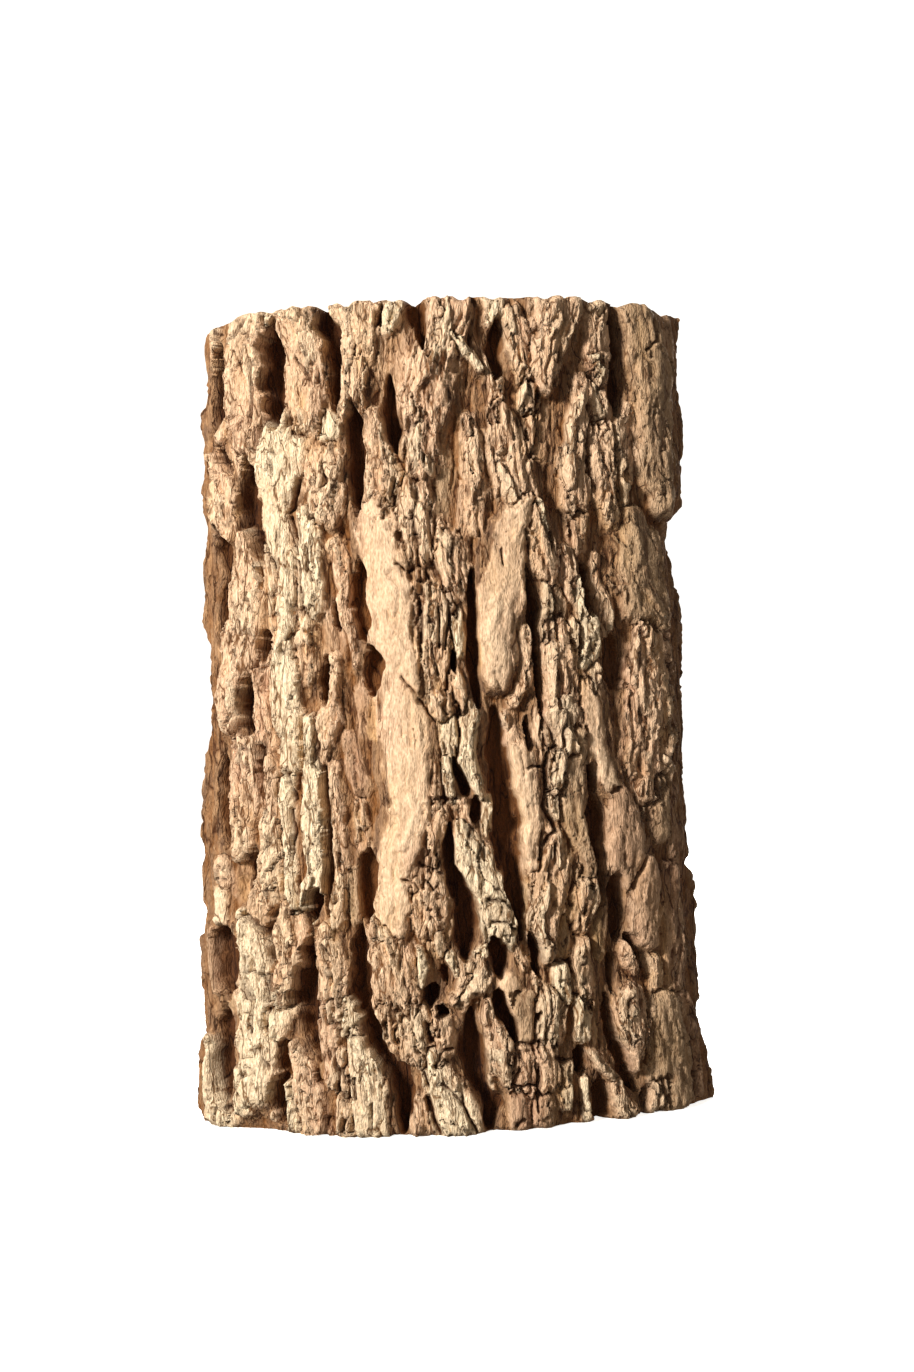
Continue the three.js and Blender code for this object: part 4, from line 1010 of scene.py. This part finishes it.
def lay_out_map(mesh, sizes):
    """A map without overlaps: bark face, hollow back, sawn ends and long edges side by side."""
    corners = np.zeros(len(mesh.loops), np.int32)
    mesh.loops.foreach_get("vertex_index", corners)
    places = np.zeros(3 * len(mesh.vertices), np.float32)
    mesh.vertices.foreach_get("co", places)
    right, back, up = places.reshape(-1, 3)[corners].T / MM
    counts = np.zeros(len(mesh.polygons), np.int32)
    mesh.polygons.foreach_get("loop_total", counts)
    slots = np.zeros(len(mesh.polygons), np.int32)
    mesh.polygons.foreach_get("material_index", slots)
    normals = np.zeros(3 * len(mesh.polygons), np.float32)
    mesh.polygons.foreach_get("normal", normals)
    slot = np.repeat(slots, counts)
    facing_up = np.repeat(normals.reshape(-1, 3)[:, 2], counts)

    ahead = sizes.arc_axis / MM - back
    round_share = (np.arctan2(right, ahead) * sizes.crest_radius / MM + MAP_SPAN / 2) / MAP_SPAN
    deep_share = (np.hypot(right, ahead) - MAP_INNERMOST) / MAP_DEPTH
    up_share = up / (sizes.height / MM)
    areas = [slot == BARK_SLOT, slot == INNER_SLOT, facing_up > 0.7, facing_up < -0.7, right < 0]
    edge_u = 0.63 + 0.36 * up_share
    end_u = 0.63 + 0.36 * round_share
    u = np.select(areas, [0.01 + 0.6 * round_share, end_u, end_u, end_u, edge_u], edge_u)
    top_v, foot_v, left_v, right_v = (low + 0.07 * deep_share for low in MAP_STRIPS)
    face_v, back_v = 0.01 + 0.82 * up_share, 0.01 + 0.49 * up_share
    v = np.select(areas, [face_v, back_v, top_v, foot_v, left_v], right_v)
    uv = np.stack([u, v], axis=-1)
    layer = mesh.uv_layers.new(name="OFBake")
    layer.data.foreach_set("uv", uv.ravel().astype(np.float32))


def add_node(tree, kind, inputs=None, **settings):
    """Adds a node with its settings, its values and the links into it."""
    node = tree.nodes.new(kind)
    for name, value in settings.items():
        setattr(node, name, value)
    for key, value in (inputs or {}).items():
        if isinstance(value, bpy.types.NodeSocket):
            tree.links.new(value, node.inputs[key])
        else:
            node.inputs[key].default_value = value
    return node


def coated(tree, colour, coats, blend="MIX"):
    """A colour with coats laid over it in order, each a share from 0 to 1 and the colour that it brings."""
    for share, coat in coats:
        inputs = {MIX_FACTOR: share, MIX_FIRST: colour, MIX_SECOND: coat}
        node = add_node(tree, "ShaderNodeMix", inputs, data_type="RGBA", blend_type=blend)
        colour = node.outputs[MIX_RESULT]
    return colour


def pattern(tree, millimetres, stretch=1.0, detail=3.0, low=0.35, high=0.65):
    """Noise with bumps of a real size, drawn out along the trunk by stretch, as a share from 0 to 1."""
    place = add_node(tree, "ShaderNodeTexCoord").outputs["Object"]
    drawn = add_node(tree, "ShaderNodeMapping", {"Vector": place, "Scale": (1, 1, 1 / stretch)})
    inputs = {"Vector": drawn.outputs["Vector"], "Scale": 1 / (millimetres * MM), "Detail": detail}
    value = add_node(tree, "ShaderNodeTexNoise", inputs).outputs["Fac"]
    spread = {"Value": value, "From Min": low, "From Max": high}
    return add_node(tree, "ShaderNodeMapRange", spread).outputs["Result"]


def hairlines(tree, millimetres, stretch, width):
    """Thin wandering lines a real distance apart, drawn out along the trunk: 0 on a line, 1 between."""
    value = pattern(tree, millimetres, stretch, detail=2.0, low=0.0, high=1.0)
    from_middle = add_node(tree, "ShaderNodeMath", {0: value, 1: 0.5}, operation="SUBTRACT").outputs[0]
    distance = add_node(tree, "ShaderNodeMath", {0: from_middle}, operation="ABSOLUTE").outputs[0]
    return add_node(tree, "ShaderNodeMapRange", {"Value": distance, "From Max": width}).outputs["Result"]


def new_material(name):
    """A material with its node tree cleared down to one shader."""
    material = bpy.data.materials.new(name)
    material.use_nodes = True
    tree = material.node_tree
    tree.nodes.clear()
    shader = add_node(tree, "ShaderNodeBsdfPrincipled", {"Specular IOR Level": 0.25, "IOR": 1.45})
    add_node(tree, "ShaderNodeOutputMaterial", {"Surface": shader.outputs["BSDF"]})
    return material, tree, shader


def bark_share(tree, name, low=0.0, high=1.0):
    """One of the board's own shares, spread so that low is 0 and high is 1."""
    value = add_node(tree, "ShaderNodeAttribute", attribute_name=f"bark_{name}").outputs["Fac"]
    spread = {"Value": value, "From Min": low, "From Max": high}
    return add_node(tree, "ShaderNodeMapRange", spread).outputs["Result"]


def with_alpha(colour):
    """A colour property as the four numbers that a socket takes."""
    return (*colour, 1.0)


def weathered_cork_bark(colours):
    """Raw outer cork, dried in the sun: matt tan plates, cream splits, brown furrows, black cracks, with
    painted highlight on raised crests and painted shade in hollows and cracks.
    """
    material, tree, shader = new_material("weathered_cork_bark")
    paint = {name: with_alpha(getattr(colours, name)) for name in BARK_COLOURS}

    # Patches of plate differ in age, so tan shifts to pale, golden and rosy over a hand's width.
    mottle = pattern(tree, 4.5, stretch=2.5)
    patches = pattern(tree, 32, stretch=2.0)
    golden = pattern(tree, 16, stretch=2.5, low=0.45, high=0.75)
    rosy = pattern(tree, 24, stretch=3.0, low=0.5, high=0.85)
    tan = coated(tree, paint["ridge_dark"], [
        (mottle, paint["ridge"]),
        (patches, paint["ridge_light"]),
        (golden, paint["golden"]),
        (rosy, paint["rosy"]),
        # Painted highlight: raised crests are lightened towards the pale tan.
        (bark_share(tree, "crest", 0.55, 1.2), paint["ridge_light"]),
        (bark_share(tree, "cream", 0.1, 0.7), paint["cream"]),
    ])

    # Between the plates lie greyer streaks; low-lying bark takes the furrow brown, darker the lower it lies:
    # the furrows' own brown with painted shade in the hollows.
    streaks = pattern(tree, 2.6, stretch=6.0)
    valley = coated(tree, paint["valley_dark"], [(streaks, paint["valley"])])
    depth = bark_share(tree, "crest", 0.0, 0.25)
    brown = coated(tree, paint["furrow_dark"], [(depth, paint["furrow"])])
    tan = coated(tree, valley, [(bark_share(tree, "ridge", 0.0, 0.9), tan)])
    bark = coated(tree, brown, [
        # Painted shade: where the crest share is low, the furrow brown shows in place of tan.
        (bark_share(tree, "crest", 0.1, 0.5), tan),
        (bark_share(tree, "olive", 0.0, 1.3), paint["olive"]),
        (bark_share(tree, "russet", 0.0, 1.2), paint["russet"]),
        # Partly painted shade: cracks, seams and deep furrows darken to the crack colour.
        (bark_share(tree, "crack", 0.1, 1.1), paint["crack"]),
    ])

    # Cork cells are far too fine to show, so the grain is drawn 0.9 mm wide.
    grain = pattern(tree, 0.9, stretch=2.6)
    speck = coated(tree, (0.74, 0.69, 0.64, 1), [(grain, (1.12, 1.12, 1.12, 1))])
    bark = coated(tree, bark, [(1.0, speck)], "MULTIPLY")

    # Drying opens hairline fissures along the trunk, fewer on the smooth plates.
    rough = bark_share(tree, "rough", 0.2, 0.9)
    smooth = add_node(tree, "ShaderNodeMath", {0: 1.0, 1: rough}, operation="SUBTRACT").outputs[0]
    bare = pattern(tree, 11, stretch=2.0, low=0.4, high=0.55)
    closed = add_node(tree, "ShaderNodeMath", {0: smooth, 1: bare}, operation="MAXIMUM").outputs[0]
    lines = {0: hairlines(tree, 5.5, 5.0, 0.03), 1: closed}
    lines = add_node(tree, "ShaderNodeMath", lines, operation="MAXIMUM").outputs[0]
    splits = {0: hairlines(tree, 10.0, 4.0, 0.022), 1: smooth}
    splits = add_node(tree, "ShaderNodeMath", splits, operation="MAXIMUM").outputs[0]
    fissure = add_node(tree, "ShaderNodeMath", {0: lines, 1: splits}, operation="MULTIPLY").outputs[0]
    dark = coated(tree, bark, [(1.0, (0.22, 0.13, 0.06, 1))], "MULTIPLY")
    bark = coated(tree, dark, [(fissure, bark)])

    worn = {0: rough, 1: 0.7, 2: 0.3}
    worn = add_node(tree, "ShaderNodeMath", worn, operation="MULTIPLY_ADD").outputs[0]
    surface = {0: grain, 1: worn, 2: fissure}
    surface = add_node(tree, "ShaderNodeMath", surface, operation="MULTIPLY_ADD").outputs[0]
    bump = add_node(tree, "ShaderNodeBump", {"Height": surface, "Strength": 0.8, "Distance": 0.7 * MM})
    tree.links.new(bark, shader.inputs["Base Color"])
    tree.links.new(bump.outputs["Normal"], shader.inputs["Normal"])
    shader.inputs["Roughness"].default_value = 0.92
    return material


def sawn_cork(colours):
    """Cork cut across with a saw: even tan with dark pores and growth lines, dull and slightly torn."""
    material, tree, shader = new_material("sawn_cork")
    # Pores of about 0.5 mm are drawn three times as wide, so that they show.
    pores = pattern(tree, 1.6, detail=2.0, low=0.42, high=0.6)
    growth_lines = pattern(tree, 6, stretch=5.0)
    sawn, sawn_dark = with_alpha(colours.sawn), with_alpha(colours.sawn_dark)
    cut = coated(tree, sawn_dark, [(growth_lines, sawn)])
    cut = coated(tree, sawn_dark, [(pores, cut)])
    bump = add_node(tree, "ShaderNodeBump", {"Height": pores, "Strength": 0.5, "Distance": 0.5 * MM})
    tree.links.new(cut, shader.inputs["Base Color"])
    tree.links.new(bump.outputs["Normal"], shader.inputs["Normal"])
    shader.inputs["Roughness"].default_value = 0.95
    return material


def inner_bark(colours):
    """The inside of the bark, peeled off the wood: smooth brown with fine upright streaks."""
    material, tree, shader = new_material("inner_bark")
    streaks = pattern(tree, 2.5, stretch=16.0)
    clouds = pattern(tree, 34, stretch=1.8, low=0.4, high=0.85)
    flecks = hairlines(tree, 9.0, 9.0, 0.025)
    inside = coated(tree, with_alpha(colours.inner_dark), [
        (streaks, with_alpha(colours.inner)),
        (clouds, with_alpha(colours.inner_light)),
    ])
    inside = coated(tree, with_alpha(colours.furrow), [(flecks, inside)])
    # Fibres of a few tenths of a millimetre are drawn 1.1 mm wide, so that they show.
    fibres = pattern(tree, 1.1, stretch=6.0)
    shade = coated(tree, (0.72, 0.68, 0.64, 1), [(fibres, (1.1, 1.1, 1.1, 1))])
    inside = coated(tree, inside, [(1.0, shade)], "MULTIPLY")
    relief = add_node(tree, "ShaderNodeMath", {0: streaks, 1: flecks}, operation="ADD").outputs[0]
    bump = add_node(tree, "ShaderNodeBump", {"Height": relief, "Strength": 0.6, "Distance": 0.6 * MM})
    tree.links.new(inside, shader.inputs["Base Color"])
    tree.links.new(bump.outputs["Normal"], shader.inputs["Normal"])
    shader.inputs["Roughness"].default_value = 0.8
    return material


class CORK_OT_bark_board(bpy.types.Operator):
    """Builds the finely ridged bark board in place of the plain solid."""

    bl_idname = "cork.bark_board"
    bl_label = "Bark board"

    def execute(self, context):
        sizes = context.scene.cork_board_sizes
        colours = context.scene.cork_board_colours
        fine = board_mesh(sizes)
        mesh = thinned(fine, sizes.triangles)
        bpy.data.meshes.remove(fine)
        if len(mesh.polygons) < 1000:
            raise RuntimeError("the bark board came out empty")
        sharpen_borders(mesh)
        lay_out_map(mesh, sizes)
        # Clearing the list puts every face on its first material, so the ends and the back, which
        # carry no shares, show the bark's furrow brown.
        mesh.materials.clear()
        for material in (weathered_cork_bark(colours), sawn_cork(colours), inner_bark(colours)):
            mesh.materials.append(material)
        board = bpy.data.objects.new("bark_board", mesh)
        context.scene.collection.objects.link(board)
        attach(board, "root")
        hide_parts(BOARD_NODE)
        return {"FINISHED"}


def area_light(name, place, target, size, watts, colour=(1, 1, 1)):
    """A square light at a place, turned towards a target."""
    data = bpy.data.lights.new(name, "AREA")
    data.size = size
    data.energy = watts
    data.color = colour
    light = bpy.data.objects.new(name, data)
    light.location = place
    light.visible_camera = False
    light.rotation_euler = (Vector(target) - Vector(place)).to_track_quat("-Z", "Y").to_euler()
    bpy.context.scene.collection.objects.link(light)
    return light


def paper_sweep(colour):
    """A white paper ground that curves up into a wall all round."""
    profile = [(0.3 * PAPER_FLAT, 0.0), (PAPER_FLAT, 0.0)]
    for turn in range(1, PAPER_STEPS + 1):
        angle = math.pi / 2 * turn / PAPER_STEPS
        reach = PAPER_FLAT + PAPER_BEND * math.sin(angle)
        profile.append((reach, PAPER_BEND - PAPER_BEND * math.cos(angle)))
    profile.append((PAPER_FLAT + PAPER_BEND, PAPER_TOP))
    places = [(0.0, 0.0, 0.0)]
    for side in range(PAPER_SIDES):
        turn = math.tau * side / PAPER_SIDES
        places += [(reach * math.cos(turn), reach * math.sin(turn), up) for reach, up in profile]
    rings = len(profile)
    faces = []
    for side in range(PAPER_SIDES):
        here, after = 1 + rings * side, 1 + rings * ((side + 1) % PAPER_SIDES)
        faces.append((0, here, after))
        for ring in range(rings - 1):
            faces.append((here + ring, here + ring + 1, after + ring + 1, after + ring))
    mesh = bpy.data.meshes.new("paper_sweep")
    mesh.from_pydata(places, [], faces)
    mesh.shade_smooth()
    material, _, shader = new_material("white_paper")
    shader.inputs["Base Color"].default_value = with_alpha(colour)
    shader.inputs["Roughness"].default_value = 0.9
    shader.inputs["Emission Color"].default_value = with_alpha(colour)
    shader.inputs["Emission Strength"].default_value = 0.9
    mesh.materials.append(material)
    sweep = bpy.data.objects.new("paper_sweep", mesh)
    sweep.visible_diffuse = False
    bpy.context.scene.collection.objects.link(sweep)
    return sweep


class CORK_OT_stage(bpy.types.Operator):
    """Sets the white ground, the raking light from the left and the camera."""

    bl_idname = "cork.stage"
    bl_label = "Stage"

    def execute(self, context):
        scene = context.scene
        stage = scene.cork_stage
        paper_sweep(stage.ground)
        middle = (BOARD_LOW + BOARD_HIGH) / 2

        azimuth, elevation = math.radians(KEY_AZIMUTH), math.radians(KEY_ELEVATION)
        reach = KEY_DISTANCE * math.cos(elevation)
        key_place = middle + Vector((
            -reach * math.sin(azimuth), -reach * math.cos(azimuth), KEY_DISTANCE * math.sin(elevation)))
        key_watts = stage.key_power * (KEY_DISTANCE / KEY_POWER_DISTANCE) ** 2
        area_light("key_light", key_place, middle, KEY_SIZE, key_watts, KEY_COLOUR)
        area_light("back_light", middle + Vector(BACK_PLACE), middle, BACK_SIZE, stage.back_power)

        world = bpy.data.worlds.new("studio")
        world.use_nodes = True
        background = world.node_tree.nodes["Background"]
        background.inputs["Color"].default_value = AMBIENT_COLOUR
        background.inputs["Strength"].default_value = AMBIENT_STRENGTH
        scene.world = world

        data = bpy.data.cameras.new("camera")
        data.sensor_fit = "AUTO"
        data.sensor_width = SENSOR_WIDTH
        data.lens = SENSOR_WIDTH * stage.focal_pixels / max(IMAGE_WIDTH, IMAGE_HEIGHT)
        camera = bpy.data.objects.new("camera", data)
        crest = BOARD_LOW.y
        camera.location = (stage.camera_right, crest - stage.camera_distance, stage.camera_height)
        camera.rotation_euler = (math.radians(90), stage.camera_roll, 0)
        scene.collection.objects.link(camera)
        scene.camera = camera
        scene.view_settings.view_transform = "Standard"
        return {"FINISHED"}


class CORK_PT_panel(bpy.types.Panel):
    """Lists the board's pieces and its sizes and colours."""

    bl_idname = "CORK_PT_panel"
    bl_label = "Cork bark board"
    bl_space_type = "VIEW_3D"
    bl_region_type = "UI"
    bl_category = "Cork"

    def draw(self, context):
        layout = self.layout
        layout.operator(CORK_OT_bark_board.bl_idname)
        layout.operator(CORK_OT_stage.bl_idname)
        for group in (getattr(context.scene, name) for name in GROUPS):
            box = layout.box()
            for name in group.bl_rna.properties.keys():
                if name not in ("rna_type", "name"):
                    box.prop(group, name)


GROUPS = {
    "cork_board_sizes": CorkBoardSizes,
    "cork_board_colours": CorkBoardColours,
    "cork_stage": CorkStageSettings,
}
CLASSES = (*GROUPS.values(), CORK_OT_bark_board, CORK_OT_stage, CORK_PT_panel)


def register():
    """Adds the classes and the scene's settings."""
    for item in CLASSES:
        bpy.utils.register_class(item)
    for name, group in GROUPS.items():
        setattr(bpy.types.Scene, name, PointerProperty(type=group))


def unregister():
    """Takes the settings and the classes away."""
    for name in GROUPS:
        delattr(bpy.types.Scene, name)
    for item in reversed(CLASSES):
        bpy.utils.unregister_class(item)


def main():
    """Builds the board and the stage."""
    register()
    bpy.ops.cork.bark_board()
    bpy.ops.cork.stage()


if __name__ == "__main__":
    main()
